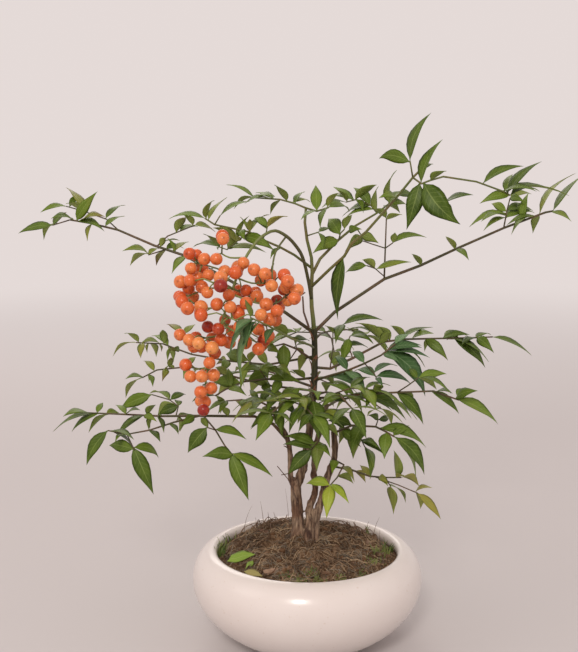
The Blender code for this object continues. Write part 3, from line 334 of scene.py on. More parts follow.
def crumb(draw, finish, x, y, size):
    """One crumb: a coarse ball pushed out of round, sunk by a third."""
    fineness = 1 if size < SMALL_CRUMB else 2
    ball = twin(crumb_balls[fineness])
    seed = Vector((draw.uniform(0, 50), draw.uniform(0, 50), 0.0))
    flat = draw.uniform(0.6, 0.9)
    spot = Vector((x, y, soil_top(x, y) + size * CRUMB_LIFT)) * MM
    for point in ball.data.vertices:
        way = point.co / MM
        bulge = size * (1.0 + 0.45 * noise.noise(way * 1.8 + seed))
        point.co = Vector((point.co.x * bulge, point.co.y * bulge, point.co.z * bulge * flat)) + spot
    ball.data.materials.append(finish)
    return ball


draw = random.Random(21)
crumbs = []
clay_crumbs = []
for i in range(CRUMBS):
    x, y = lay_on_soil(draw, CRUMB_REACH)
    size = SMALLEST_CRUMB + CRUMB_SPREAD * draw.random() ** 3.2
    if i % 9:
        crumbs.append(crumb(draw, potting_soil, x, y, size))
    else:
        clay_crumbs.append(crumb(draw, baked_clay, x, y, size))
for ball in crumb_balls.values():
    bpy.data.objects.remove(ball, do_unlink=True)
joined("soil_crumbs", crumbs)
joined("clay_crumbs", clay_crumbs)

# Dry rootlets and moss stems, 0.2 to 0.5 mm thick, matted over the whole surface where watering has bared them.
# Each is a short bent strand that follows the soil and lifts off it a little.
ROOTLET_SORTS = [("rootlets_straw", "#B29878", "#866C54", 560, 31),
                 ("rootlets_grey", "#8F8270", "#64594C", 460, 32),
                 ("rootlets_brown", "#64482F", "#443022", 460, 33)]
ROOTLET_STEPS = 6
ROOTLET_REACH = 0.95
ROOTLET_LENGTH = (6.0, 24.0)
ROOTLET_THICK = (0.24, 0.52)
ROOTLET_LIFT = (0.2, 2.4)


def tube_mesh(points, radii, sides):
    """Points and triangles of a closed stalk along a route, with flat ends and a round stalk's thickness."""
    fullness = math.sqrt(math.tau / (sides * math.sin(math.tau / sides)))
    rings = []
    side = None
    for i, here in enumerate(points):
        ahead = points[min(i + 1, len(points) - 1)] - points[max(i - 1, 0)]
        ahead.normalize()
        if side is None:
            side = ahead.cross(Vector((0.3, 1.0, 0.2))).normalized()
        side = (side - ahead * side.dot(ahead)).normalized()
        across = ahead.cross(side)
        rings.append([here + (side * math.cos(turn) + across * math.sin(turn)) * (radii[i] * fullness)
                      for turn in (math.tau * k / sides for k in range(sides))])
    faces = []
    for i in range(len(rings) - 1):
        for k in range(sides):
            a, b = i * sides + k, i * sides + (k + 1) % sides
            faces += [(a, b, b + sides), (a, b + sides, a + sides)]
    last = (len(rings) - 1) * sides
    for k in range(1, sides - 1):
        faces += [(0, k + 1, k), (last, last + k, last + k + 1)]
    return [p for ring in rings for p in ring], faces


def many_tubes(name, tubes, finish):
    """One object that holds all these (points, faces)."""
    points = []
    faces = []
    for some_points, some_faces in tubes:
        start = len(points)
        points += some_points
        faces += [tuple(start + k for k in face) for face in some_faces]
    return mesh_object(name, points, faces, finish)


def strand(draw, x, y, length, thick, lift):
    """A bent strand that starts at (x, y) on the soil."""
    heading = draw.uniform(0.0, math.tau)
    bend = draw.uniform(-1.6, 1.6) / ROOTLET_STEPS
    points = []
    for i in range(ROOTLET_STEPS + 1):
        share = i / ROOTLET_STEPS
        rise = lift * math.sin(math.pi * share) + thick * 0.7
        points.append(Vector((x, y, soil_top(x, y) + rise)))
        heading += bend + draw.uniform(-0.22, 0.22)
        step_x = x + math.cos(heading) * length / ROOTLET_STEPS
        step_y = y + math.sin(heading) * length / ROOTLET_STEPS
        if math.hypot(step_x, step_y) > SOIL_RADIUS - 2.5:
            heading += 2.2
            continue
        x, y = step_x, step_y
    clean = [points[0]] + [b for a, b in zip(points, points[1:]) if (b - a).length > 0.3]
    radii = [thick / 2 * (1.0 - 0.55 * i / len(clean)) for i in range(len(clean))]
    return tube_mesh(clean, radii, 3) if len(clean) > 2 else None


# Dry plant fibre: matt, straw coloured to grey, darker in patches where it is still damp.
for name, light, dark, count, seed in ROOTLET_SORTS:
    fibre, shader = new_finish("fibre_" + name, Roughness=0.85, Specular_IOR_Level=0.3)
    place = object_place(fibre)
    mottle = noise_over(fibre, place, 90.0, 2.0)
    damp = spread(fibre, mottle.outputs["Fac"], 0.35, 0.65)
    two_tone = blend(fibre, damp.outputs[0], light, dark)
    feed(shader, "Base Color", two_tone.outputs[2])
    draw = random.Random(seed)
    strands = []
    for _ in range(count):
        x, y = lay_on_soil(draw, ROOTLET_REACH)
        strands.append(strand(draw, x, y, draw.uniform(*ROOTLET_LENGTH), draw.uniform(*ROOTLET_THICK),
                              draw.uniform(*ROOTLET_LIFT)))
    joined(name, [many_tubes(name, [s for s in strands if s], fibre)])

# Three old canes from one root crown, and the side stems that fork from them. The bark is grey-brown and fissured
# at the foot, smoother and almost black-green on the upper stem, with a faint swelling at each old leaf scar.
FRONT_EYE = Vector((-14.0, -800.0, 368.0))
CANES = [
    (5.6, 3.9, [(-6, 66, 0), (-7, 82, 0), (-7.4, 100, 0), (-9, 121, 0)]),
    (2.2, 1.7, [(-8.5, 117, 0), (-12.5, 128, 0), (-13.5, 150, 0), (-17, 163, 0), (-24, 174, 1), (-25, 184, 0)]),
    (3.4, 2.2, [(-9, 119, 0), (-4, 133.5, 0), (1, 160, 0), (3.6, 187, 0), (5, 202, 0), (5.4, 224, 0),
                (4.9, 244, 0)]),
    (3.2, 1.9, [(0, 66, 4), (1.5, 90, 4), (1.5, 103, 1), (6, 117, -3), (5, 134, -7), (8, 160, -8), (15, 186, -3)]),
    (3.4, 2.2, [(5, 66, 2), (6.4, 92, 3), (10.8, 110, 3), (16, 130, 2), (21, 145, 2), (20, 165, 2)]),
]
CANE_SIDES = (9, 8)
CROWN_RADIUS = 13.0
CROWN_HOLE_FLOOR = 52.0
CROWN_SIDES = 12
GAP = 0.35
BARK_VOXEL = 0.8
BARK_ENDS = 187.0


def seen(x, z, toward=0.0):
    """The point on the front eye's sight line through (x, 0, z) that stands this far toward the eye."""
    plane = Vector((x, 0.0, z))
    return FRONT_EYE + (plane - FRONT_EYE) * (1.0 + toward / FRONT_EYE.y)


def placed_route(route, first, last):
    """A stalk's points in space and its radius at each, which tapers evenly from point to point."""
    points = [seen(*spot) for spot in route]
    radii = [first + (last - first) * i / (len(points) - 1) for i in range(len(points))]
    return points, radii


def stalk_meshes(stalks, sides):
    return [tube_mesh(*placed_route(route, first, last), sides[min(i, 1)])
            for i, (first, last, route) in enumerate(stalks)]


def eased(points, radii, step):
    """The route cut into short steps along a smooth curve through its points."""
    ends = [points[0] * 2 - points[1]] + points + [points[-1] * 2 - points[-2]]
    easy = []
    for i in range(len(points) - 1):
        a, b, c, d = ends[i:i + 4]
        cuts = max(1, round((c - b).length / step))
        for k in range(cuts):
            t = k / cuts
            easy.append((0.5 * ((2 * b) + (c - a) * t + (2 * a - 5 * b + 4 * c - d) * t ** 2
                                + (3 * b - a - 3 * c + d) * t ** 3), radii[i] + (radii[i + 1] - radii[i]) * t))
    easy.append((points[-1], radii[-1]))
    return [p for p, _ in easy], [r for _, r in easy]


def cane_radius(radius, height):
    """The cane's radius with a swelling at each leaf scar, and a flare at the foot."""
    scar = max(0.0, math.cos(height / 17.0 * math.tau)) ** 14
    flare = 1.6 * max(0.0, (92.0 - height) / 16.0) ** 2
    return radius + (0.35 if height > 120 else 0.2) * scar + min(flare, 2.4)


# Bark of an old woody cane: grey-pink dry ridges over dark brown fissures along the grain, redder inside, turning to
# a smooth dark olive skin on the upper stem.
cane_bark, shader = new_finish("cane_bark", Roughness=0.82, Specular_IOR_Level=0.35)
place = object_place(cane_bark)
grain = add_node(cane_bark, "ShaderNodeMapping", {"Vector": place, "Scale": (620.0, 620.0, 85.0)})
fissures = noise_over(cane_bark, grain.outputs[0], 1.0, 4.0, Roughness=0.65)
ridged = spread(cane_bark, fissures.outputs["Fac"], 0.36, 0.62)
blotches = noise_over(cane_bark, place, 75.0, 3.0)
blotchy = spread(cane_bark, blotches.outputs["Fac"], 0.4, 0.62)
ridge = blend(cane_bark, blotchy.outputs[0], "#A48C74", "#805F48")
fissured = blend(cane_bark, ridged.outputs[0], "#3E2A22", ridge.outputs[2])
parts = add_node(cane_bark, "ShaderNodeSeparateXYZ", {"Vector": place})
height = calculated(cane_bark, "MULTIPLY_ADD", blotches.outputs["Fac"], 0.05, parts.outputs["Z"])
green_wood = spread(cane_bark, height.outputs[0], 0.172, 0.232)
olive = blend(cane_bark, ridged.outputs[0], "#28271A", "#4C4A2C")
stem = blend(cane_bark, green_wood.outputs[0], fissured.outputs[2], olive.outputs[2])
feed(shader, "Base Color", stem.outputs[2])
relief(cane_bark, shader, fissures.outputs["Fac"], 0.7, 0.0006)

tubes = []
for first, last, route in CANES:
    points, radii = eased(*placed_route(route, first, last), 1.5)
    radii = [cane_radius(r, p.z) for p, r in zip(points, radii)]
    tubes.append(tube_mesh(points, radii, 22))
canes = many_tubes("canes_bark", tubes, cane_bark)
apply_modifier(canes, "REMESH", mode="VOXEL", voxel_size=BARK_VOXEL * MM, use_smooth_shade=True)
apply_modifier(canes, "SMOOTH", factor=0.5, iterations=5)
for point in canes.data.vertices:
    x, y, z = point.co / MM
    old = min(1.0, max(0.12, (BARK_ENDS + 10.0 - z) / 60.0))
    furrow = abs(noise.noise(Vector((x / 1.5, y / 1.5, z / 14.0))))
    knot = noise.noise(Vector((x / 3.0, y / 3.0, z / 6.0)))
    point.co += point.normal * ((furrow - 0.22) * 1.3 + knot * 0.45) * old * MM
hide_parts("canes")
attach(canes, "root")

# Papery red-brown remains of old leaf sheaths, still clasping the upper stem where the leaves sprang, and a few
# dried bracts and bits of twig lower down. Each is a torn, curved scale.
SHEATHS = [(187.0, 0.4), (190.5, 2.6), (193.0, 4.9), (196.5, 1.4), (199.0, 3.6), (203.0, 5.4), (207.0, 0.2),
           (212.5, 2.9), (219.0, 5.0), (226.0, 1.2), (172.0, 3.9), (161.0, 0.9), (235.0, 3.4)]
SHEATH_ROWS = 5

dry_sheath, shader = new_finish("dry_sheath", Roughness=0.7, Specular_IOR_Level=0.4)
place = object_place(dry_sheath)
grain = add_node(dry_sheath, "ShaderNodeMapping", {"Vector": place, "Scale": (900.0, 900.0, 160.0)})
fibres = noise_over(dry_sheath, grain.outputs[0], 1.0, 2.0)
papery = blend(dry_sheath, fibres.outputs["Fac"], "#4A2C20", "#9A6A4C")
feed(shader, "Base Color", papery.outputs[2])


def route_point(route, height):
    """Where a stalk stands at this height, and its direction there."""
    points = [seen(*spot) for spot in route]
    for a, b in zip(points, points[1:]):
        if a.z <= height <= b.z:
            return a.lerp(b, (height - a.z) / (b.z - a.z)), (b - a).normalized()
    return points[-1], (points[-1] - points[-2]).normalized()


def scale_mesh(foot, up, facing, reach, width, lean):
    """A pointed scale, curved round the stem, that leans out from it: two skins 0.3 mm apart."""
    out = Vector((math.cos(facing), math.sin(facing), 0.0))
    across = up.cross(out).normalized()
    skins = []
    for lift in (0.0, 0.3):
        for i in range(SHEATH_ROWS):
            share = i / (SHEATH_ROWS - 1)
            half = width / 2 * (1.0 - share ** 1.6) + 0.15
            base = foot + up * reach * share + out * (lift + lean * share * share)
            skins += [base - across * half - out * half * 0.5, base, base + across * half - out * half * 0.5]
    faces = []
    layer = SHEATH_ROWS * 3
    for i in range(SHEATH_ROWS - 1):
        for k in (0, 1):
            a = i * 3 + k
            faces += [(a, a + 3, a + 4, a + 1), (layer + a, layer + a + 1, layer + a + 4, layer + a + 3)]
        for k, sign in ((0, 1), (2, -1)):
            a = i * 3 + k
            wall = (a, a + layer, a + layer + 3, a + 3)
            faces.append(wall[::sign])
    last = layer - 3
    faces += [(0, 1, layer + 1, layer), (1, 2, layer + 2, layer + 1), (last, layer + last, layer + last + 1, last + 1),
              (last + 1, layer + last + 1, layer + last + 2, last + 2)]
    return skins, faces


scales = []
draw = random.Random(51)
for height, facing in SHEATHS:
    foot, up = route_point(CANES[2][2], height)
    stem_radius = 3.4 - 1.2 * (height - 119.0) / 125.0
    scales.append(scale_mesh(foot + Vector((math.cos(facing), math.sin(facing), 0)) * (stem_radius * 0.9), up, facing,
                             draw.uniform(4.0, 8.5), draw.uniform(2.6, 4.4), draw.uniform(0.6, 3.0)))
sheaths = many_tubes("leaf_sheaths", scales, dry_sheath)
select_only(sheaths)
bpy.ops.object.mode_set(mode="EDIT")
bpy.ops.mesh.select_all(action="SELECT")
bpy.ops.mesh.normals_make_consistent(inside=False)
bpy.ops.object.mode_set(mode="OBJECT")
sheaths.data.shade_smooth()
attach(sheaths, "root")

# A few dead twigs and a broken stub that the photographed stem still carries, each one thin and bare.
TWIGS = [(0.75, 0.55, [(1.0, 244.5, 1), (-3.0, 256, 2), (-3.8, 268, 3)]),
         (0.5, 0.35, [(-2.0, 271, 4), (-9.0, 266, 7), (-18.0, 261.5, 9)]),
         (0.4, 0.3, [(-7.5, 108, 6), (-12, 121, 8), (-15, 127, 9), (-23, 137, 11)]),
         (0.4, 0.3, [(-9.5, 126, 3), (-15, 131, 5), (-20, 130, 6)]),
         (0.5, 0.3, [(-13.5, 150, 2), (-16, 152, 3), (-18, 153, 4)])]
dead_twig, shader = new_finish("dead_twig", Roughness=0.8)
place = object_place(dead_twig)
fibres = noise_over(dead_twig, place, 180.0, 3.0)
weathered = blend(dead_twig, fibres.outputs["Fac"], "#46342A", "#786050")
feed(shader, "Base Color", weathered.outputs[2])
joined("dead_twigs", [many_tubes("dead_twigs", stalk_meshes(TWIGS, (5, 5)), dead_twig)])

# A panicle of ripe berries, 8 to 9 mm across, that arches over from the green shoot and hangs by its weight. Each
# berry is a smooth fleshy ball with a small dark scar at its end, on a thin green stalk.
BERRY_DIAMETER = 8.8
BERRY_PITCH = 9.2
PANICLE_HALF_DEPTH = 27.0
PEDICEL_RADIUS = 0.45
NODE_SPACE = 1.0
BRANCH_SIDES = (5, 3)
BERRIES = [
    (-63, 311), (-88, 300), (-77, 296), (-83, 299), (-68, 296), (-87, 289), (-84, 289), (-78.5, 289), (-74, 284),
    (-62, 287), (-54, 286), (-48, 293), (-52, 290), (-40, 288), (-32, 285), (-35, 280), (-28, 284), (-27, 276),
    (-17.6, 284), (-15, 279.5), (-16, 275), (-8, 272.5), (-10, 266.5), (-15, 265), (-95, 279), (-88, 280),
    (-82, 282), (-79, 275), (-75, 271), (-89, 274), (-95, 267), (-94, 264), (-86, 267.5), (-90, 259), (-80, 260),
    (-80, 254), (-65, 282), (-65, 276), (-59, 269), (-46, 272.5), (-52, 272), (-39, 271), (-38, 268), (-68, 262),
    (-58, 260), (-52, 255), (-46, 263), (-62, 250), (-31, 262), (-35, 254), (-23, 257), (-28.5, 250.5),
    (-24, 250), (-23, 265), (-75, 245), (-67, 243.5), (-57, 242), (-51, 245), (-37, 243), (-29.5, 238),
    (-33, 235), (-71.5, 236), (-65, 235), (-59, 233), (-47, 233), (-37, 228), (-96, 239), (-89, 235), (-84, 237),
    (-85.5, 230), (-82, 232.5), (-72, 229), (-70, 225), (-74, 217.5), (-92, 216), (-88.5, 207), (-80, 207),
    (-71, 208), (-77, 209), (-73, 198), (-81, 195), (-78, 187.5), (-81, 188), (-79, 181)]
PANICLE = [
    (1.3, 0.9, [(2.7, 266, 0), (0.6, 279, 9), (-3.8, 297, 20), (-9.5, 306.5, 27), (-16, 313, 33),
                (-24, 317, 39), (-30.5, 315, 42), (-37, 310, 45), (-44.5, 300, 48), (-52, 285, 50)]),
    (0.9, 0.6, [(-52, 285, 50), (-58, 268, 52), (-64, 250, 53), (-70, 232, 53), (-75, 214, 52), (-78, 196, 51),
                (-79, 186, 50)]),
    (0.7, 0.5, [(-16, 313, 33), (-24, 301, 44), (-26.5, 287, 54), (-26, 277, 60)]),
    (0.7, 0.5, [(-46, 297, 48), (-58, 297, 50), (-64, 300, 50)]),
    (0.7, 0.5, [(-53, 283, 50), (-68, 289, 46), (-82, 293, 44)]),
    (0.7, 0.5, [(-56, 274, 51), (-73, 274, 46), (-90, 268, 44)]),
    (0.7, 0.5, [(-53, 282, 50), (-42, 278, 56), (-32, 278, 60)]),
    (0.7, 0.5, [(-57, 270, 52), (-42, 264, 58), (-26, 262, 60), (-14, 270, 60)]),
    (0.7, 0.5, [(-61, 259, 52), (-46, 250, 60), (-32, 246, 60)]),
    (0.7, 0.5, [(-65, 247, 53), (-52, 240, 62), (-38, 233, 60)]),
    (0.7, 0.5, [(-68, 238, 53), (-80, 236, 47), (-91, 235, 45)]),
    (0.7, 0.5, [(-60, 262, 52), (-74, 259, 56), (-84, 262, 56)]),
    (0.7, 0.5, [(-75, 214, 52), (-86, 212, 48)]),
    (0.7, 0.5, [(-58, 268, 52), (-62, 264, 34), (-66, 258, 28)]),
    (0.7, 0.5, [(-56, 274, 51), (-48, 270, 36), (-40, 266, 30)]),
    (0.7, 0.5, [(-63, 253, 53), (-59, 252, 70), (-54, 250, 76)]),
    (0.7, 0.5, [(-64, 250, 53), (-58, 243, 38), (-52, 240, 32)]),
    (0.7, 0.5, [(-56, 274, 51), (-62, 277, 68), (-70, 278, 72)])]


def stalk_point(stalks, x, z, taken=()):
    """The place on these stalks that looks nearest to (x, z) from the front, as (x, z, toward), and clear of
    the places that are taken."""
    best = None
    least_off = math.inf
    for _, _, route in stalks:
        for a, b in zip(route, route[1:]):
            run = Vector((b[0] - a[0], b[1] - a[1]))
            share = Vector((x - a[0], z - a[1])).dot(run) / max(run.length_squared, 1e-6)
            share = min(1.0, max(0.0, share))
            step = NODE_SPACE / (Vector(b) - Vector(a)).length
            for shift in (0, -1, 1, -2, 2, -3):
                along = share + shift * step
                spot = Vector(a).lerp(Vector(b), along)
                if 0.0 <= along <= 1.0 and all((spot - other).length > NODE_SPACE * 0.95 for other in taken):
                    off = math.hypot(spot.x - x, spot.y - z)
                    if off < least_off - 1e-6:
                        best = spot
                        least_off = off
                    break
    return best


def berry_places():
    """Every berry's centre: those seen from the front, each as far forward as the others leave room for, and
    more behind them, so that the cluster is as full at the back."""
    draw = random.Random(11)
    centres = []
    branches = PANICLE[1:]

    def settle(x, z, depths):
        spot = stalk_point(branches, x, z)
        for share in depths:
            toward = spot[2] + share * PANICLE_HALF_DEPTH + draw.uniform(-1.5, 1.5)
            here = seen(x, z, toward)
            off_branch = (nearest_branch_point(here) - here).length > BERRY_DIAMETER * 0.62
            if off_branch and all((here - other).length > BERRY_PITCH for other in centres):
                centres.append(here)
                return

    for x, z in BERRIES:
        settle(x, z, (0.45, 0.75, 0.2, 0.0, -0.3, -0.6, 1.0))
    for x, z in BERRIES[::5]:
        if z > 225:
            settle(x + draw.uniform(-3, 3), z + draw.uniform(-3, 3), (-0.75, -0.45, -1.0))
    return centres


def berry_mesh(centre):
    """A round berry of twenty faces."""
    radius = BERRY_DIAMETER / 2 * 1.06
    height = radius / math.sqrt(5)
    reach = 2 * height
    points = [centre + Vector((0, 0, radius))]
    for level, offset in ((height, 0.0), (-height, 0.5)):
        points += [centre + Vector((math.cos(a) * reach, math.sin(a) * reach, level))
                   for a in (math.tau * (k + offset) / 5 for k in range(5))]
    points.append(centre - Vector((0, 0, radius)))
    faces = []
    for k in range(5):
        n = (k + 1) % 5
        faces += [(0, 1 + k, 1 + n), (1 + k, 6 + k, 1 + n), (1 + n, 6 + k, 6 + n), (11, 6 + n, 6 + k)]
    return points, faces


def nearest_branch_point(centre):
    """The place on the cluster's branchlets nearest to a berry."""
    best = None
    for _, _, route in PANICLE[1:]:
        points = [seen(*spot) for spot in route]
        for a, b in zip(points, points[1:]):
            share = min(1.0, max(0.0, (centre - a).dot(b - a) / (b - a).length_squared))
            spot = a + (b - a) * share
            if best is None or (spot - centre).length < (best - centre).length:
                best = spot
    return best


def pedicel_mesh(centre):
    """The thin stalk from the nearest branchlet into a berry."""
    root = nearest_branch_point(centre)
    inside = centre + (root - centre).normalized() * BERRY_DIAMETER * 0.25
    return tube_mesh([root, inside], [PEDICEL_RADIUS, PEDICEL_RADIUS], 3)


berry_centres = berry_places()
clearance_berries = [berry_mesh(centre) for centre in berry_centres]
clearance_pedicels = [pedicel_mesh(centre) for centre in berry_centres]
clearance_branches = stalk_meshes(PANICLE, BRANCH_SIDES)

# Ripe berry skin: thin, waxy and taut over pale flesh, so light sinks in a little and the gloss is soft. The colour
# runs from peach-orange on young berries to dark red on the oldest, and deepens to the scar. Berries further back
# in the cluster are also pushed toward dark red: painted shade.
berry_skin, shader = new_finish("berry_skin", Roughness=0.3, IOR=1.42, Subsurface_Weight=0.15,
                                Subsurface_Radius=(1.0, 0.5, 0.25), Subsurface_Scale=0.0022, Coat_Weight=0.12,
                                Coat_Roughness=0.25)
place = object_place(berry_skin)
ripe_and_shaded = add_node(berry_skin, "ShaderNodeAttribute", {}, attribute_name="ripeness_and_shade")
scar = add_node(berry_skin, "ShaderNodeAttribute", {}, attribute_name="scar")
mottle = noise_over(berry_skin, place, 260.0, 2.0)
uneven = calculated(berry_skin, "MULTIPLY_ADD", mottle.outputs["Fac"], 0.35, ripe_and_shaded.outputs["Fac"])
orange = spread(berry_skin, uneven.outputs[0], 0.1, 0.75)
deep = spread(berry_skin, uneven.outputs[0], 0.85, 1.2)
ripening_and_shading = blend(berry_skin, orange.outputs[0], "#E89A58", "#D25E2C")
ripened_and_shaded = blend(berry_skin, deep.outputs[0], ripening_and_shading.outputs[2], "#8C1D14")
marked = blend(berry_skin, scar.outputs["Fac"], ripened_and_shaded.outputs[2], "#3A1A10")
feed(shader, "Base Color", marked.outputs[2])
relief(berry_skin, shader, mottle.outputs["Fac"], 0.15, 0.0004)

bpy.ops.object.select_all(action="DESELECT")
bpy.ops.mesh.primitive_uv_sphere_add(segments=18, ring_count=12, radius=BERRY_DIAMETER / 2 * MM)
berry = bpy.context.object
for point in berry.data.vertices:
    x, y, z = point.co / MM
    out = math.hypot(x, y)
    lobes = 1.0 + 0.012 * math.cos(3 * math.atan2(y, x))
    z -= 0.35 * max(0.0, 1.0 - out / 1.6) * (1 if z > 0 else -0.4)
    point.co = Vector((x * lobes, y * lobes, z * 0.97)) * MM
berry.data.shade_smooth()
scar_share = [0.6 if z < 0 and out < 0.45 else 0.12 if z < 0 and out < 1.3 else 0.0
              for z, out in ((p.co.z / MM, math.hypot(p.co.x, p.co.y) / MM) for p in berry.data.vertices)]
paint(berry, "scar", scar_share)
berry.data.materials.append(berry_skin)

draw = random.Random(61)
berries = []
deepest = max(centre.y for centre in berry_centres)
nearest = min(centre.y for centre in berry_centres)
for centre in berry_centres:
    copy = twin(berry)
    root = nearest_branch_point(centre)
    hang = (centre - root).normalized() + Vector((draw.uniform(-0.3, 0.3), draw.uniform(-0.3, 0.3), -0.5))
    spin = Matrix.Rotation(draw.uniform(0, 6.28), 3, "Z").to_quaternion()
    turn = hang.normalized().to_track_quat("-Z", "Y") @ spin
    size = draw.uniform(0.97, 1.1)
    copy.data.transform(Matrix.Translation(centre * MM) @ turn.to_matrix().to_4x4() @ Matrix.Scale(size, 4))
    # Painted shade: the further back a berry sits, the more its random ripeness is pushed toward dark red.
    shade = (centre.y - nearest) / (deepest - nearest)
    ripeness_and_shade = min(1.0, max(0.0, draw.gauss(0.34, 0.2) + 0.3 * shade))
    ripeness_and_shade = 1.0 if draw.random() < 0.05 else ripeness_and_shade
    paint(copy, "ripeness_and_shade", [ripeness_and_shade] * len(berry.data.vertices))
    berries.append(copy)
bpy.data.objects.remove(berry, do_unlink=True)

# Live green stalk of the panicle: smooth, olive where it leaves the shoot and pale green out at the berries.
panicle_stalk, shader = new_finish("panicle_stalk", Roughness=0.55, Specular_IOR_Level=0.4)
place = object_place(panicle_stalk)
parts = add_node(panicle_stalk, "ShaderNodeSeparateXYZ", {"Vector": place})
outward = spread(panicle_stalk, parts.outputs["X"], -0.012, -0.05)
greening = blend(panicle_stalk, outward.outputs[0], "#4E4B2C", "#7E8A4C")
feed(shader, "Base Color", greening.outputs[2])

stalks = []
for first, last, route in PANICLE:
    points, radii = placed_route(route, first, last)
    stalks.append(tube_mesh(*eased(points, radii, 4.0), 8))
for centre in berry_centres:
    root = nearest_branch_point(centre)
    reach = centre - root
    sag = Vector((0.0, 0.0, 0.12 * reach.length))
    points = [root, root + reach * 0.45 + sag, centre - reach.normalized() * BERRY_DIAMETER * 0.35]
    stalks.append(tube_mesh(points, [0.55, 0.42, 0.5], 5))
panicle = many_tubes("panicle", stalks, panicle_stalk)
panicle.data.shade_smooth()
cluster = joined("berry_cluster_ripe", [panicle] + berries)
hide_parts("berry_cluster")

# Nandina's large compound leaves: thin jointed stalks that fork again and again, with pointed leaflets in opposite
# pairs and one at each end. A leaflet is an evergreen blade folded along its midrib, arched, with a drawn-out tip.
LEAFLET_RIB = 0.6
LEAFLET_ARCH = 0.10
SLENDERNESS = 0.30
NECK = 0.32
STALK_SIDES = (4, 3)
SWINGS = [(0.0, 0.0)] + [(reach * depth, reach * lift) for reach in (0.14, 0.28, 0.42, 0.58, 0.75)
                         for depth, lift in ((1, 0), (-1, 0), (0, 1), (0, -1), (0.8, 0.8), (-0.8, 0.8),
                                             (0.8, -0.8), (-0.8, -0.8))]
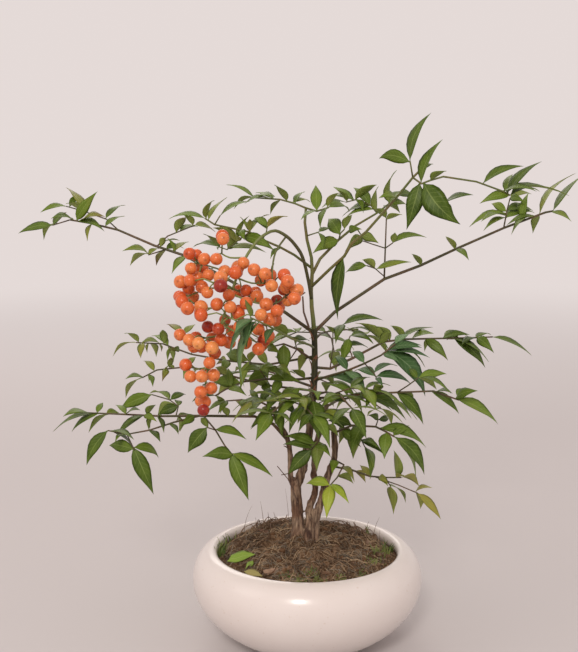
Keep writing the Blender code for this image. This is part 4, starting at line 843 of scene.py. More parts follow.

# Each compound leaf: what it springs from, its stalks, and its leaflets. A stalk is its radius at both ends and
# its route. A leaflet is its base and its tip, each (x, z), the width that shows, and how far its tip leans
# toward the front where that was judged.
FRONDS = {
    "leaf_crown": ("canes", [
        (1.9, 1.0, [(4.9, 240, 0), (4.2, 250, 0), (3, 260, 0), (2.5, 272, 0), (3.3, 286, 0), (2.7, 297, 1),
                    (-0.6, 310, 2), (-2.3, 323, 2), (-1.5, 333.7, 2)]),
        (0.8, 0.55, [(-1.5, 333.7, 2), (-9.5, 337, -2), (-20.5, 340, -7), (-39.5, 341.3, -14)]),
        (0.8, 0.6, [(-1.5, 333.7, 2), (6.5, 331.4, 8), (15, 334, 16)]),
        (0.55, 0.45, [(-1.3, 313, 2), (8, 316, 9)]),
    ], [
        (-39.5, 341, -60.5, 351, 3.5), (-25, 343, -39, 345, 3), (-14, 344, -25, 351, 5), (-9.5, 337, -2, 346, 3),
        (6.5, 331.5, 5.6, 351, 9), (6.5, 331.5, -5.5, 325, 3), (8, 316, 18, 319, 3), (-28, 341, -47, 337, 3),
        (-20, 340, -28, 329, 4), (15, 334, 31, 331, 4), (13, 334, 9, 318, 5), (15, 334, 24, 345, 4),
        (-39, 341, -55, 333, 4), (8, 316, 11, 303, 4)]),
    "leaf_left_upper": ("leaf_crown", [
        (1.1, 0.6, [(3.2, 289, 0), (-10, 299, 3), (-21, 305, 7), (-34, 310.5, 10), (-43, 316, 12),
                    (-69, 321.5, 16), (-76, 326, 18)]),
        (0.6, 0.45, [(-34, 310.5, 10), (-31, 315, 16), (-30, 320, 20)]),
        (0.6, 0.45, [(-43, 316, 12), (-53, 309, 4), (-60, 303, -4), (-66, 305, -8)]),
        (0.5, 0.45, [(-69, 321.5, 16), (-65, 328, 20)]),
    ], [
        (-76, 326, -103.5, 325.5, 3.5), (-77, 327, -69, 339.5, 3.5), (-73.5, 327, -59.5, 342, 3.5),
        (-64, 329, -42.5, 339, 4), (-60, 320, -63, 311, 9), (-50, 318, -47, 310, 7), (-30, 320, -40, 326.5, 5),
        (-30, 320, -14.5, 327.7, 3.5), (-47, 311, -23.5, 314.5, 8), (-59.5, 303, -50, 309.5, 5),
        (-57, 302, -30.5, 300.7, 4), (-67, 306, -85.5, 305, 4), (-53, 309, -53, 322, 5), (-66, 305, -78, 315, 4),
        (-43, 316, -43, 326, 5), (-20, 304, -28, 296, 4)]),
    "leaf_far_left": ("canes", [
        (1.5, 0.7, [(4.5, 240.5, 0), (-17, 256, -7), (-60, 281, -22), (-91.5, 298.5, -32), (-114, 306, -36),
                    (-140.5, 317.5, -34), (-161, 322.5, -30), (-176, 325, -26)]),
        (0.6, 0.45, [(-140.5, 317.5, -34), (-149, 325.5, -42), (-166, 331.5, -48), (-178.5, 335, -50)]),
        (0.6, 0.45, [(-105.5, 303, -34), (-118.5, 299, -26)]),
        (0.6, 0.45, [(-112, 305.5, -36), (-104, 313, -40), (-84, 321, -38)]),
        (0.5, 0.45, [(-176, 325, -26), (-189, 321, -22)]),
    ], [
        (-171, 325, -155, 346, 9), (-176, 335, -168, 343, 5), (-178, 335, -198, 330.5, 3.5),
        (-189, 321, -215, 315, 6), (-189, 321, -178, 331, 4), (-168, 324, -150, 327.5, 3.5),
        (-150, 325, -134.5, 336, 4), (-150, 321, -135, 328, 3.5), (-118, 299.5, -138, 302, 4),
        (-118, 299.5, -132.5, 291, 4), (-105, 303, -113, 291, 4), (-91.5, 298.5, -101.5, 285, 6),
        (-100, 302, -88, 309, 4), (-84, 321, -68, 316, 3.5), (-98, 316, -90, 327, 6), (-84, 321, -95, 330, 4),
        (-160, 322, -164, 309, 4), (-166, 331, -180, 343, 4), (-185, 322, -196, 310, 4)]),
    "leaf_upper_right": ("leaf_crown", [
        (1.3, 0.7, [(3, 284, 0), (9, 296, -5), (22.5, 310, -12), (35, 320.5, -20), (51, 330, -30), (60, 337, -36)]),
        (0.6, 0.5, [(23, 310.4, -12), (24, 315, -4), (27, 318, 2)]),
        (0.6, 0.45, [(51, 330, -30), (46, 336, -38), (36, 340, -44), (28, 338, -48)]),
        (0.6, 0.45, [(35, 320.5, -20), (40, 313, -26)]),
    ], [
        (58, 342, 65.5, 362, 4.5), (50, 343, 33, 349, 8), (34, 341, 15, 340, 4), (28, 338, 10, 334, 4),
        (46, 335, 25, 327.5, 4.5), (60, 337, 74, 345, 4), (59, 335, 74, 335, 5), (23.5, 314, 15, 326, 11),
        (27, 318, 33, 329, 5), (22, 311, 3.5, 300, 9), (30, 317, 40, 318, 6), (40, 313, 27.5, 301.5, 8),
        (41, 313, 50, 309, 7), (36, 340, 41, 330, 5), (60, 337, 52, 350, 5), (28, 338, 22, 347, 4)]),
    "leaf_crown_right": ("leaf_crown", [
        (1.2, 0.8, [(2.5, 275, 0), (16.5, 288.5, 7), (27, 298, 13), (33, 308, 17), (43, 316, 22), (57, 332, 31),
                    (67, 343.5, 38), (77, 356, 45), (82, 361, 48)]),
        (0.6, 0.5, [(77, 356, 45), (74.8, 368, 52)]),
        (0.7, 0.6, [(77, 356, 45), (83.5, 351.5, 52), (90, 354, 54), (99.5, 356.7, 52), (123.8, 353, 46),
                    (144, 345.8, 40), (149, 343, 38)]),
        (0.5, 0.45, [(85, 351.8, 52), (92, 343, 50), (100, 337, 46)]),
    ], [
        (74.8, 368, 89.5, 403, 6), (74.8, 368, 51.7, 369.7, 8.7), (83.5, 352, 98.5, 384, 6),
        (85, 352, 113, 321.5, 16, 8), (83, 352, 73, 317.5, 11), (128.7, 352, 158.5, 364.5, 5),
        (149, 343, 126.5, 337, 6), (148, 343, 150.5, 358.5, 6), (149, 343, 171.5, 368, 6),
        (149, 343, 170, 346, 4), (149, 343, 193, 342.7, 3), (100, 337, 122, 343.5, 3.5), (100, 337, 108.5, 333, 3),
        (90, 354, 102, 361, 4), (82, 361, 92, 366, 4), (66, 343, 80, 341, 5), (65, 341, 52, 341, 5),
        (27, 297, 22.5, 250, 9.5)]),
    "leaf_long_right": ("canes", [
        (1.4, 0.8, [(5, 240.8, 0), (20, 256, -8), (57, 281, -24), (83.5, 291, -34), (110, 303.5, -44),
                    (145, 319, -56), (175.5, 330.5, -62), (181, 331.5, -62)]),
        (0.7, 0.5, [(57, 281, -24), (57.5, 304, -26), (58, 326, -28)]),
        (0.5, 0.45, [(57.5, 304, -26), (48, 307, -34), (39, 310, -40)]),
        (0.5, 0.45, [(57.5, 304, -26), (63, 308, -20)]),
        (0.6, 0.5, [(145, 319, -56), (147, 332, -64), (149, 341, -70)]),
        (0.5, 0.45, [(57, 283, -24), (50, 289, -14), (44, 291, -8)]),
    ], [
        (63, 308, 64.5, 316, 5), (63, 308, 88.5, 312, 4), (39, 310, 33, 300, 6), (58, 326, 46, 333, 5),
        (58, 326, 70, 329, 4), (44, 291, 27.7, 285.5, 6), (50, 289, 40, 295.5, 5), (50, 288.5, 77.5, 293.8, 5),
        (146, 330, 119, 319.5, 5), (146, 328, 128.5, 319.5, 4), (147, 331, 135, 337, 7),
        (147, 330, 167, 331.5, 5), (149, 341, 160, 338, 6), (171, 329, 197, 359.5, 5),
        (181, 331.5, 202, 358, 5), (170, 328, 166.5, 315, 6), (167, 327, 150.5, 314, 5),
        (110, 303.5, 120, 295, 5), (84, 291, 77, 300, 4), (160, 325, 154, 337, 6), (181, 331.5, 195, 324, 5),
        (110, 303.5, 102, 313, 4)]),
    "leaf_right_mid": ("canes", [
        (1.2, 0.6, [(5.2, 214, 0), (17, 213, -6), (34, 221, -14), (57, 233.5, -28), (72, 235.5, -38),
                    (94, 236, -48), (126, 236.7, -58), (139, 237.3, -62)]),
        (0.5, 0.45, [(17, 213, -6), (19, 229, -12), (19, 240, -16), (27, 247, -18)]),
        (0.5, 0.45, [(34, 221, -14), (30, 233, -22), (32, 238, -26)]),
    ], [
        (139, 237, 169.5, 223, 3.5), (127, 237, 140.5, 225, 8), (101, 237, 122, 239, 5),
        (109.5, 236, 134.5, 213.3, 9), (108, 236, 137, 219, 3.5), (88, 235.5, 106, 219, 8),
        (78, 236, 95, 240, 5), (32.5, 246, 21, 232, 7), (27, 238, 27, 219.4, 7), (30, 246, 57, 250, 5),
        (54, 232, 63, 241, 7), (32, 238, 49.5, 232, 4), (30, 230, 46, 229, 3), (16, 217, 35, 221.5, 4),
        (72, 235.5, 62, 246, 5), (94, 236, 88, 226, 5), (19, 240, 12, 247, 3), (126, 237, 116, 228, 5)]),
    "leaf_right_blue": ("canes", [
        (1.1, 0.6, [(4.5, 203.5, 0), (15, 207, 10), (30, 211.5, 18), (43, 217, 26), (55.5, 223.3, 32),
                    (66, 232, 36)]),
        (0.5, 0.45, [(43, 217, 26), (50, 210, 34), (52, 206, 38)]),
    ], [
        (61, 225, 89.5, 191.3, 11), (61, 226, 85, 231.5, 5), (63, 222, 92.5, 221.5, 4),
        (52, 207, 79, 200.7, 5), (51, 210, 68.5, 215, 3), (52, 206, 57.5, 198.5, 4),
        (30, 212, 20, 222, 6), (43, 217, 33, 226, 6), (66, 232, 78, 240, 5), (16, 208, 20, 200, 5),
        (28, 211, 38, 203, 7)]),
    "leaf_right_front": ("canes", [
        (1.1, 0.6, [(3.7, 190, 0), (20, 191, 16), (38, 193, 34), (68, 194.7, 52), (95.5, 195.7, 60),
                    (115, 188.7, 66)]),
        (0.5, 0.45, [(68, 194.7, 52), (76, 200, 60), (84, 206, 66)]),
    ], [
        (84, 206, 105.5, 209, 6), (93, 203, 115.5, 178, 5), (98, 197, 110, 194, 3), (115, 189, 119, 198, 8),
        (115, 188.7, 145.5, 170, 7), (67.5, 192, 88.5, 169.5, 8), (72, 193, 81, 186, 5),
        (38, 193, 75.5, 173, 8), (36, 193, 13, 201, 5), (30, 191, 9, 186, 4), (28, 191, 42, 178, 5),
        (50, 194, 58, 203, 6), (50, 193, 44, 182, 6), (84, 206, 76, 213, 5), (115, 189, 129, 196, 6)]),
    "leaf_right_low": ("canes", [
        (1.0, 0.6, [(20, 163, 2), (34, 169, 12), (52, 168, 24), (60, 164, 32), (66.5, 160, 36)]),
        (0.5, 0.45, [(34, 169, 12), (40, 160, 24), (44, 152, 30)]),
        (0.5, 0.45, [(52, 168, 24), (54, 174, 16)]),
    ], [
        (55, 167.5, 91, 151.5, 9), (66.5, 160, 90, 129.7, 9.5), (60, 163, 59, 142.5, 10),
        (37, 167, 35, 142.5, 11), (43, 153, 48.3, 126, 5), (54, 174, 47, 176, 5), (54, 174, 62, 174, 5),
        (44, 158, 55, 151, 5), (46, 151, 51.5, 135, 4), (28, 167, 20, 176, 7), (40, 169, 33, 178, 6),
        (30, 167, 24, 154, 8), (66, 160, 78, 166, 5)]),
    "leaf_lowest_right": ("canes", [
        (0.9, 0.55, [(18.5, 137, 2), (34, 134, 6), (47.8, 129, 12), (60, 128, 16), (72, 128, 20)]),
        (0.5, 0.45, [(52, 128.5, 14), (70, 122, 22), (85, 115.5, 28)]),
        (0.5, 0.45, [(60, 128, 16), (64, 121, 12)]),
    ], [
        (68, 128, 66, 150, 6), (72, 128, 86, 121, 6), (85, 116, 103.5, 94.5, 6), (85, 116, 87.5, 103, 5),
        (56, 128, 62, 121, 5), (64, 121, 66.8, 98.5, 8), (64, 121, 76, 107.8, 3.5), (48, 129, 40, 138, 5),
        (85, 116, 96, 120, 4), (36, 133, 45, 124, 5)]),
    "young_shoot": ("canes", [
        (0.8, 0.5, [(19, 143, 3), (28, 138, 14), (23, 128, 22), (17.5, 121.7, 26)]),
    ], [
        (17.5, 121.7, -1.3, 122.8, 7.5), (17.5, 121.7, 15, 95, 9), (17.5, 121.7, 32.5, 107.3, 6),
        (24, 130, 35.5, 123.3, 6)]),
    "leaf_front": ("canes", [
        (1.0, 0.6, [(3.8, 196, 0), (2, 197, 20), (3, 190, 40), (10, 178, 48), (12, 166, 48), (8, 156, 44),
                    (3, 150, 38)]),
    ], [
        (4, 189, 9, 156.5, 15, 10), (11, 172, 29, 177, 7), (9, 157, 7.6, 130, 11), (3, 150, -14.8, 130, 11),
        (4, 151, -19, 154, 6), (3, 190, -10, 183, 7), (11, 168, 24, 160, 6), (10, 176, -4, 168, 7),
        (6, 153, 18, 144, 6)]),
    "leaf_centre_left": ("canes", [
        (1.0, 0.55, [(4.8, 219, 0), (-8, 228, 7), (-18, 232, 12), (-30, 229, 16)]),
        (0.5, 0.45, [(-8, 228, 7), (-10, 235, 2), (-16, 238, -2)]),
        (0.5, 0.45, [(-8, 228, 7), (-14, 219, 14), (-24, 214, 18)]),
    ], [
        (-18, 232, -17, 208, 10), (-30, 229, -20, 224, 6), (-10, 236, 2, 234, 4), (-10, 229, 2, 231, 3),
        (-24, 214, -37, 211, 4), (-24, 214, -12, 207, 6), (-16, 238, -27, 232, 3), (-16, 238, -28, 246, 6),
        (-27, 230, -40, 236, 5), (-3, 224, -7, 212, 7), (-15, 219, -25, 222, 5)]),
    "leaf_left_mid": ("canes", [
        (1.1, 0.6, [(4, 206, 0), (-12, 204, 6), (-31, 205, 12), (-48, 203, 16), (-62, 197, 18), (-70, 192, 20)]),
        (0.5, 0.45, [(-31, 205, 12), (-36, 212, 16), (-44, 219, 16)]),
    ], [
        (-46, 206, -27, 208, 8), (-30, 205, -8, 198, 6), (-50, 202, -72, 202, 9), (-60, 198, -46, 192, 6),
        (-70, 192, -86, 187, 6), (-70, 192, -66, 178, 6), (-44, 219, -62, 224, 9), (-44, 219, -38, 229, 5),
        (-36, 212, -50, 211, 6), (-20, 204, -28, 194, 7), (-12, 204, -20, 212, 6), (-58, 199, -60, 210, 6)]),
    "leaf_left_inner": ("canes", [
        (1.0, 0.55, [(-18, 166, 1), (-24, 181, 8), (-35, 187, 14), (-50, 189, 18), (-62, 188, 20)]),
        (0.5, 0.45, [(-24, 181, 8), (-18, 188, 16), (-12, 190, 20)]),
    ], [
        (-12, 190, 1, 182, 8), (-16, 189, -29, 193, 7), (-25, 182, -43.5, 167, 7), (-24, 181, -19.5, 160.5, 7),
        (-50, 189, -46, 180, 6), (-62, 188, -75.5, 191, 6), (-62, 188, -68, 178, 5), (-35, 187, -28, 199, 6),
        (-38, 187, -44, 197, 5), (-30, 185, -32, 174, 6), (-12, 190, -6, 198, 5), (-20, 185, -8, 176, 7)]),
    "leaf_over_berries": ("canes", [
        (1.0, 0.55, [(4.5, 229, 0), (2, 231, 44), (-12, 236, 78), (-30, 246, 92), (-43, 252, 96)]),
    ], [
        (-43, 252, -47, 266, 4), (-43, 252, -46, 228, 5), (-43, 252, -55, 240, 5), (-38, 250, -52, 218, 5),
        (-36, 249, -48, 198, 4), (-14, 237, -8, 225, 5), (-26, 244, -32, 232, 5)]),
    "leaf_lower_left": ("canes", [
        (1.4, 0.55, [(-15.5, 158, 0), (-26, 170, 4), (-40, 176, 10), (-82, 176.5, 20), (-110.5, 176.2, 24),
                     (-138.5, 177.6, 22), (-166, 178.8, 18)]),
        (0.8, 0.5, [(-82, 176.5, 20), (-101.7, 171.4, 26), (-120.2, 165.3, 32), (-137.6, 162, 36),
        (-152, 165, 38)]),
        (0.5, 0.45, [(-137.6, 162, 36), (-132, 149.4, 42)]),
        (0.7, 0.5, [(-79, 176.5, 19), (-70, 165.3, 34), (-63.2, 153.4, 44), (-57, 145.6, 50)]),
        (0.5, 0.45, [(-100, 176.3, 22), (-98, 184, 12), (-104.7, 189, 6), (-118, 193, 2)]),
        (0.5, 0.45, [(-70, 165.3, 34), (-76.5, 167.5, 38)]),
    ], [
        (-163, 178.5, -194.5, 163.8, 3.5), (-158, 178.3, -180, 163.8, 3.5), (-149, 178, -167, 163.3, 3.5),
        (-124, 177, -146.6, 157.2, 4.5), (-160, 178.5, -155, 187, 4), (-122, 177, -115, 185, 4),
        (-120, 176.5, -120, 166.5, 4), (-113, 176, -109, 163, 4), (-98, 176, -97, 164, 4),
        (-100, 186, -114.3, 175.2, 8), (-119, 193, -143.2, 180.9, 9), (-152, 166, -169.2, 137.5, 8),
        (-151, 166, -131.8, 157.6, 4), (-133, 150, -151.7, 153.3, 9), (-132, 150, -113.5, 143.2, 6.5),
        (-132, 150, -118, 114.3, 12), (-76.5, 167.5, -91.5, 147.3, 11), (-70, 166, -46.4, 158, 6),
        (-57.4, 145.6, -80.4, 144.3, 9.5), (-57, 145.6, -26.2, 128.4, 7), (-57.4, 145.6, -45, 109.6, 12),
        (-76, 168, -81.5, 175, 5), (-104, 189, -92, 193, 5), (-60, 176, -66, 184, 5), (-45, 176, -38, 184, 6),
        (-166, 178.8, -186, 176, 3.5), (-138, 178, -146, 185, 4), (-120, 165.5, -112, 156, 4),
        (-104, 171, -98, 162, 4)]),
    "leaf_left_back": ("canes", [
        (1.0, 0.55, [(5, 222.5, 0), (-30, 216, -24), (-60, 219, -42), (-87.5, 224, -54), (-109, 232, -62),
                     (-129, 233, -66)]),
        (0.5, 0.45, [(-87.5, 224, -54), (-86, 233, -62), (-94, 240, -68)]),
    ], [
        (-129, 233, -147, 222.3, 4), (-124, 233, -126, 221, 5), (-118, 232.5, -114, 222, 5),
        (-104, 230, -101, 218, 5), (-108, 232, -109, 243, 6), (-94, 240, -106, 247, 5), (-94, 240, -84, 247, 5),
        (-88, 226, -76, 232, 5), (-60, 219, -66, 208, 7), (-60, 219, -50, 227, 7), (-30, 216, -38, 226, 7),
        (-34, 216, -30, 204, 7), (-127, 233, -138, 240, 4)]),
    "leaf_left_thin": ("canes", [
        (1.0, 0.55, [(4, 196, 0), (-30, 200, -16), (-60, 208, -24), (-90, 214.5, -26), (-113.7, 212, -24),
                     (-125, 206, -22)]),
    ], [
        (-125, 206, -138, 190.3, 4), (-104, 213, -103, 222, 5), (-106, 213, -110, 203, 5),
        (-116, 211.5, -124, 219, 5), (-120, 209, -117, 199, 4), (-90, 214.5, -94, 205, 5),
        (-92, 215, -84, 222, 5), (-60, 208, -70, 214, 6), (-62, 208, -54, 200, 6), (-30, 200, -40, 206, 7),
        (-34, 200, -26, 191, 7), (-125, 206, -138, 205, 4)]),
    "leaf_front_right": ("canes", [
        (1.0, 0.6, [(3.9, 192, 0), (14, 195, 26), (25, 192, 54), (34, 182, 76)]),
        (0.6, 0.45, [(16, 194.6, 31), (4, 195, 42), (-5, 190, 50)]),
        (0.6, 0.45, [(20, 193.6, 42), (33, 198, 44), (44, 197, 48)]),
    ], []),
    "leaf_front_left": ("canes", [
        (1.0, 0.6, [(3.6, 184, 0), (-8, 189, 24), (-18, 187, 50), (-28, 178, 72)]),
        (0.6, 0.45, [(-10, 188.7, 29), (-24, 191, 34), (-34, 188, 38)]),
        (0.6, 0.45, [(-13, 188, 38), (-2, 184, 52), (4, 177, 62)]),
    ], []),
    "leaf_back_left": ("canes", [
        (1.1, 0.6, [(4, 199, 0), (-10, 204, -34), (-22, 210, -66), (-32, 212, -96), (-38, 206, -120)]),
        (0.6, 0.45, [(-12, 205, -39), (6, 206, -50), (16, 202, -58)]),
        (0.6, 0.45, [(-14, 206, -45), (-34, 212, -46), (-48, 210, -50)]),
    ], []),
    "leaf_back": ("canes", [
        (1.1, 0.6, [(5, 235, 0), (10, 240, -30), (14, 241, -66), (18, 236, -98), (20, 226, -122)]),
        (0.6, 0.45, [(11, 240.5, -40), (-8, 241, -52), (-20, 236, -60)]),
        (0.6, 0.45, [(12, 241, -46), (32, 243, -54), (44, 238, -62)]),
    ], []),
    "leaf_back_right": ("canes", [
        (1.1, 0.6, [(15, 184, -3), (22, 188, -30), (34, 191, -58), (46, 190, -86), (56, 182, -106)]),
        (0.6, 0.45, [(24, 189, -36), (12, 188, -54), (4, 184, -66)]),
        (0.6, 0.45, [(28, 190, -42), (48, 192, -46), (62, 188, -50)]),
    ], []),
}
PAIRED = {"leaf_front_right": 12, "leaf_front_left": 15, "leaf_back_left": 3, "leaf_back": 5, "leaf_back_right": 7}


def blade_normal(base, tip, width, seen_width):
    """The upper side's direction, so that from the front the blade shows this much of its width."""
    along = (tip - base).normalized()
    sight = ((base + tip) / 2 - FRONT_EYE).normalized()
    across = along.cross(sight).normalized()
    turn = math.acos(min(1.0, seen_width / width))
    up = Vector((0, 0, 1)) - sight * 0.3
    best = None
    for sign in (1, -1):
        edge = Matrix.Rotation(sign * turn, 3, along) @ across
        normal = along.cross(edge)
        if normal.dot(up) < 0:
            normal.negate()
        if best is None or normal.dot(up) > best.dot(up):
            best = normal
    return best


# A leaflet's triangles: its end at the stalk, then left half above, right half above, and the underside.
LEAFLET_FACES = [(0, 1, 2)]
for k, n in ((0, 1), (1, 2), (2, 0)):
    LEAFLET_FACES += [(k, n + 3, n), (k, k + 3, n + 3), (k + 3, n + 6, n + 3), (k + 3, k + 6, n + 6),
                      (k + 6, 9, n + 6)]


def leaflet_mesh(base, tip, normal, width, spare=0.0, start=0.0):
    """Points and triangles of one pointed leaflet: a blade with a ribbed underside that arches from base to tip.

    Each station is left edge, right edge, rib below. spare thickens it all round, for a clearance test, and
    start leaves out the part before that share of its length.
    """
    along = tip - base
    length = along.length
    along.normalize()
    normal = (normal - along * normal.dot(along)).normalized()
    across = normal.cross(along)
    stations = [(start, 0.41 * width if start else NECK), (0.22, 0.41 * width), (0.52, 0.47 * width)]
    points = []
    for share, half in stations:
        here = base + along * (length * share) + normal * (4.0 * LEAFLET_ARCH * length * share * (1.0 - share))
        rib = LEAFLET_RIB if share else NECK
        points += [here - across * (half + spare) + normal * (rib * 0.4 + spare),
                   here + across * (half + spare) + normal * (rib * 0.4 + spare), here - normal * (rib + spare)]
    points.append(tip + along * spare)
    return points, LEAFLET_FACES


class Room:
    """Everything placed so far, so that a new leaflet can be bent clear of it."""

    def __init__(self):
        self.placed = []

    def add(self, points, faces):
        low = Vector(min(p[k] for p in points) for k in range(3))
        high = Vector(max(p[k] for p in points) for k in range(3))
        self.placed.append((low, high, BVHTree.FromPolygons(points, faces)))

    def clear(self, points, faces):
        low = Vector(min(p[k] for p in points) for k in range(3))
        high = Vector(max(p[k] for p in points) for k in range(3))
        probe = None
        for other_low, other_high, other in self.placed:
            if all(low[k] <= other_high[k] and other_low[k] <= high[k] for k in range(3)):
                probe = probe or BVHTree.FromPolygons(points, faces)
                if probe.overlap(other):
                    return False
        return True


def paired_leaflets(stalks, seed):
    """Leaflets for a frond that is seen end on: opposite pairs along its stalks, and one at each end."""
    draw = random.Random(seed)
    rows = []
    for _, _, route in stalks:
        points = [seen(*spot) for spot in route]
        main = len(route) > 3
        for i in range(1, len(points)):
            ahead = (points[i] - points[i - 1]).normalized()
            side = ahead.cross(Vector((0, 0, 1))).normalized()
            for sign in (1, -1):
                heading = (ahead * 0.75 + side * sign + Vector((0, 0, draw.uniform(-0.45, 0.1)))).normalized()
                if not (main and i == 1):
                    node = points[i] - ahead * NODE_SPACE * (1.1 + 0.45 * sign)
                    rows.append((node, heading * draw.uniform(23, 29)))
            if i == len(points) - 1:
                node = points[i] - ahead * NODE_SPACE * 0.3
                rows.append((node, (ahead + Vector((0, 0, -0.35))).normalized() * draw.uniform(28, 33)))
    return rows


def leaflets_of(name, stalks, rows, room, own, seed):
    """The frond's leaflets as (base, tip, normal, width, clearance solid), each bent clear of all that is placed."""
    draw = random.Random(seed)
    wishes = []
    taken = []
    for row in rows:
        x, z, tip_x, tip_z, shown = row[:5]
        spot = stalk_point(stalks, x, z, taken)
        taken.append(spot)
        base = seen(*spot)
        flat = math.hypot(tip_x - x, tip_z - z)
        full = max(flat, min(flat * 1.7, draw.uniform(23, 31)))
        lean = math.sqrt(full * full - flat * flat) * draw.choice((-1, 1))
        lean = row[5] if len(row) > 5 else lean
        tip = seen(tip_x, tip_z, spot[2] + lean)
        width = max(shown, SLENDERNESS * (tip - base).length)
        wishes.append((base, tip, width, blade_normal(base, tip, width, shown)))
    if name in PAIRED:
        for base, reach in paired_leaflets(stalks, PAIRED[name]):
            flat_up = Vector((draw.uniform(-0.3, 0.3), draw.uniform(-0.3, 0.3), 1.0))
            wishes.append((base, base + reach, SLENDERNESS * reach.length * 1.1, flat_up))
    made = []
    for base, tip, width, normal in wishes:
        reach = tip - base
        for depth, lift in SWINGS:
            swung = reach + Vector((0.0, depth, lift)) * reach.length
            end = base + swung.normalized() * reach.length
            full = leaflet_mesh(base, end, normal, width, spare=GAP)
            outer = leaflet_mesh(base, end, normal, width, spare=0.15, start=0.2)
            if room.clear(*full) and own.clear(*outer):
                blade = leaflet_mesh(base, end, normal, width)
                own.add(*blade)
                made.append((base, end, normal, width, blade))
                break
    return made


# The leaf blade: glossy waxy cuticle on top, deep to mid green with a paler midrib and faint side veins; the
# underside is duller and paler. Older leaves tend to olive, with brown along their tips and margins.
def leaf_finish(name, deep, mid, olive, vein, gloss):
    """A leaf's upper side. tone runs from deep through mid to olive, and rust browns the tip and margins."""
    finish, shader = new_finish(name, Roughness=gloss, IOR=1.45, Specular_IOR_Level=0.26)
    place = object_place(finish)
    tone = add_node(finish, "ShaderNodeAttribute", {}, attribute_name="tone")
    rust = add_node(finish, "ShaderNodeAttribute", {}, attribute_name="rust")
    blotch = noise_over(finish, place, 130.0, 3.0)
    varied = calculated(finish, "MULTIPLY_ADD", blotch.outputs["Fac"], 0.5, tone.outputs["Fac"])
    first = spread(finish, varied.outputs[0], 0.25, 0.75)
    second = spread(finish, varied.outputs[0], 0.75, 1.25)
    green = blend(finish, first.outputs[0], deep, mid)
    aged = blend(finish, second.outputs[0], green.outputs[2], olive)
    uv = add_node(finish, "ShaderNodeUVMap", {}, uv_map="UVMap")
    parts = add_node(finish, "ShaderNodeSeparateXYZ", {"Vector": uv.outputs[0]})
    side = calculated(finish, "SUBTRACT", parts.outputs["X"], 0.5)
    off = calculated(finish, "ABSOLUTE", side.outputs[0])
    midrib = spread(finish, off.outputs[0], 0.04, 0.01, 0.32)
    slant = calculated(finish, "MULTIPLY_ADD", off.outputs[0], -0.28, parts.outputs["Y"])
    beat = calculated(finish, "MULTIPLY", slant.outputs[0], 75.0)
    wave = calculated(finish, "SINE", beat.outputs[0])
    side_veins = spread(finish, wave.outputs[0], 0.75, 1.0, 0.12)
    veins = calculated(finish, "MAXIMUM", midrib.outputs[0], side_veins.outputs[0])
    veined = blend(finish, veins.outputs[0], aged.outputs[2], vein)
    margin = calculated(finish, "MULTIPLY_ADD", off.outputs[0], 0.5, parts.outputs["Y"])
    dry = calculated(finish, "MULTIPLY", margin.outputs[0], rust.outputs["Fac"])
    browned = spread(finish, dry.outputs[0], 0.35, 0.95)
    blade = blend(finish, browned.outputs[0], veined.outputs[2], "#6B4A2E")
    feed(shader, "Base Color", blade.outputs[2])
    relief(finish, shader, veins.outputs[0], 0.25, 0.0003)
    return finish


evergreen_leaf = leaf_finish("evergreen_leaf", "#33470E", "#647A26", "#918A3A", "#A2B066", 0.45)
young_leaf = leaf_finish("young_leaf", "#5F8220", "#8AA22E", "#A8AC42", "#C2CC80", 0.45)
# The two leaves that shine bluish get a bluer green all over: a painted sheen.
sheen_painted_leaf = leaf_finish("sheen_painted_leaf", "#3C5A30", "#668654", "#86965E", "#A6BA8E", 0.5)
leaf_underside = leaf_finish("leaf_underside", "#66782E", "#869648", "#9A964A", "#B0BC80", 0.6)

# Leaf stalks: smooth live stem, olive-brown on the old leaves and green on the shoot's, mottled redder in places.
STALK_TONES = {"olive": ("#4A4529", "#634C36"), "green": ("#5F6633", "#6E6438")}
stalk_finishes = {}
for tone, (skin, joint) in STALK_TONES.items():
    leaf_stalk, shader = new_finish("leaf_stalk_" + tone, Roughness=0.5, Specular_IOR_Level=0.4)
    place = object_place(leaf_stalk)
    mottle = noise_over(leaf_stalk, place, 70.0, 2.0)
    reddish = spread(leaf_stalk, mottle.outputs["Fac"], 0.45, 0.65)
    skin_colour = blend(leaf_stalk, reddish.outputs[0], skin, joint)
    feed(shader, "Base Color", skin_colour.outputs[2])
    stalk_finishes[tone] = leaf_stalk

# The one leaflet that all the others are copies of: a grid shaped to the blade's outline, and a second skin below
# it that meets it along the margin. x is across in half widths, y along in lengths, z the skin's thickness.
BLADE_ROWS = [(0.0, 0.07), (0.05, 0.16), (0.15, 0.66), (0.27, 0.93), (0.40, 1.0), (0.54, 0.86), (0.68, 0.58),
              (0.82, 0.29), (0.93, 0.10), (1.0, 0.0)]
BLADE_COLUMNS = 4
BLADE_SKIN = 0.25
bpy.ops.object.select_all(action="DESELECT")
bpy.ops.mesh.primitive_grid_add(x_subdivisions=BLADE_COLUMNS, y_subdivisions=len(BLADE_ROWS) - 1, size=2)
leaflet = bpy.context.object
bpy.ops.object.mode_set(mode="EDIT")
bpy.ops.mesh.select_all(action="SELECT")
bpy.ops.mesh.duplicate()
bpy.ops.transform.translate(value=(0, 0, -1))
bpy.ops.mesh.flip_normals()
bpy.ops.object.mode_set(mode="OBJECT")
for point in leaflet.data.vertices:
    row = round((point.co.y + 1) / 2 * (len(BLADE_ROWS) - 1))
    share, half = BLADE_ROWS[row]
    skin = 1.0 - abs(point.co.x) if share < 1.0 else 0.0
    point.co = (point.co.x * half, share, skin if point.co.z > -0.5 else -skin)
for face in leaflet.data.polygons:
    face.material_index = 0 if face.normal.z > 0 or face.center.z > 0 else 1
select_only(leaflet)
bpy.ops.object.mode_set(mode="EDIT")
bpy.ops.mesh.select_all(action="SELECT")
bpy.ops.mesh.remove_doubles(threshold=0.0001)
bpy.ops.object.mode_set(mode="OBJECT")
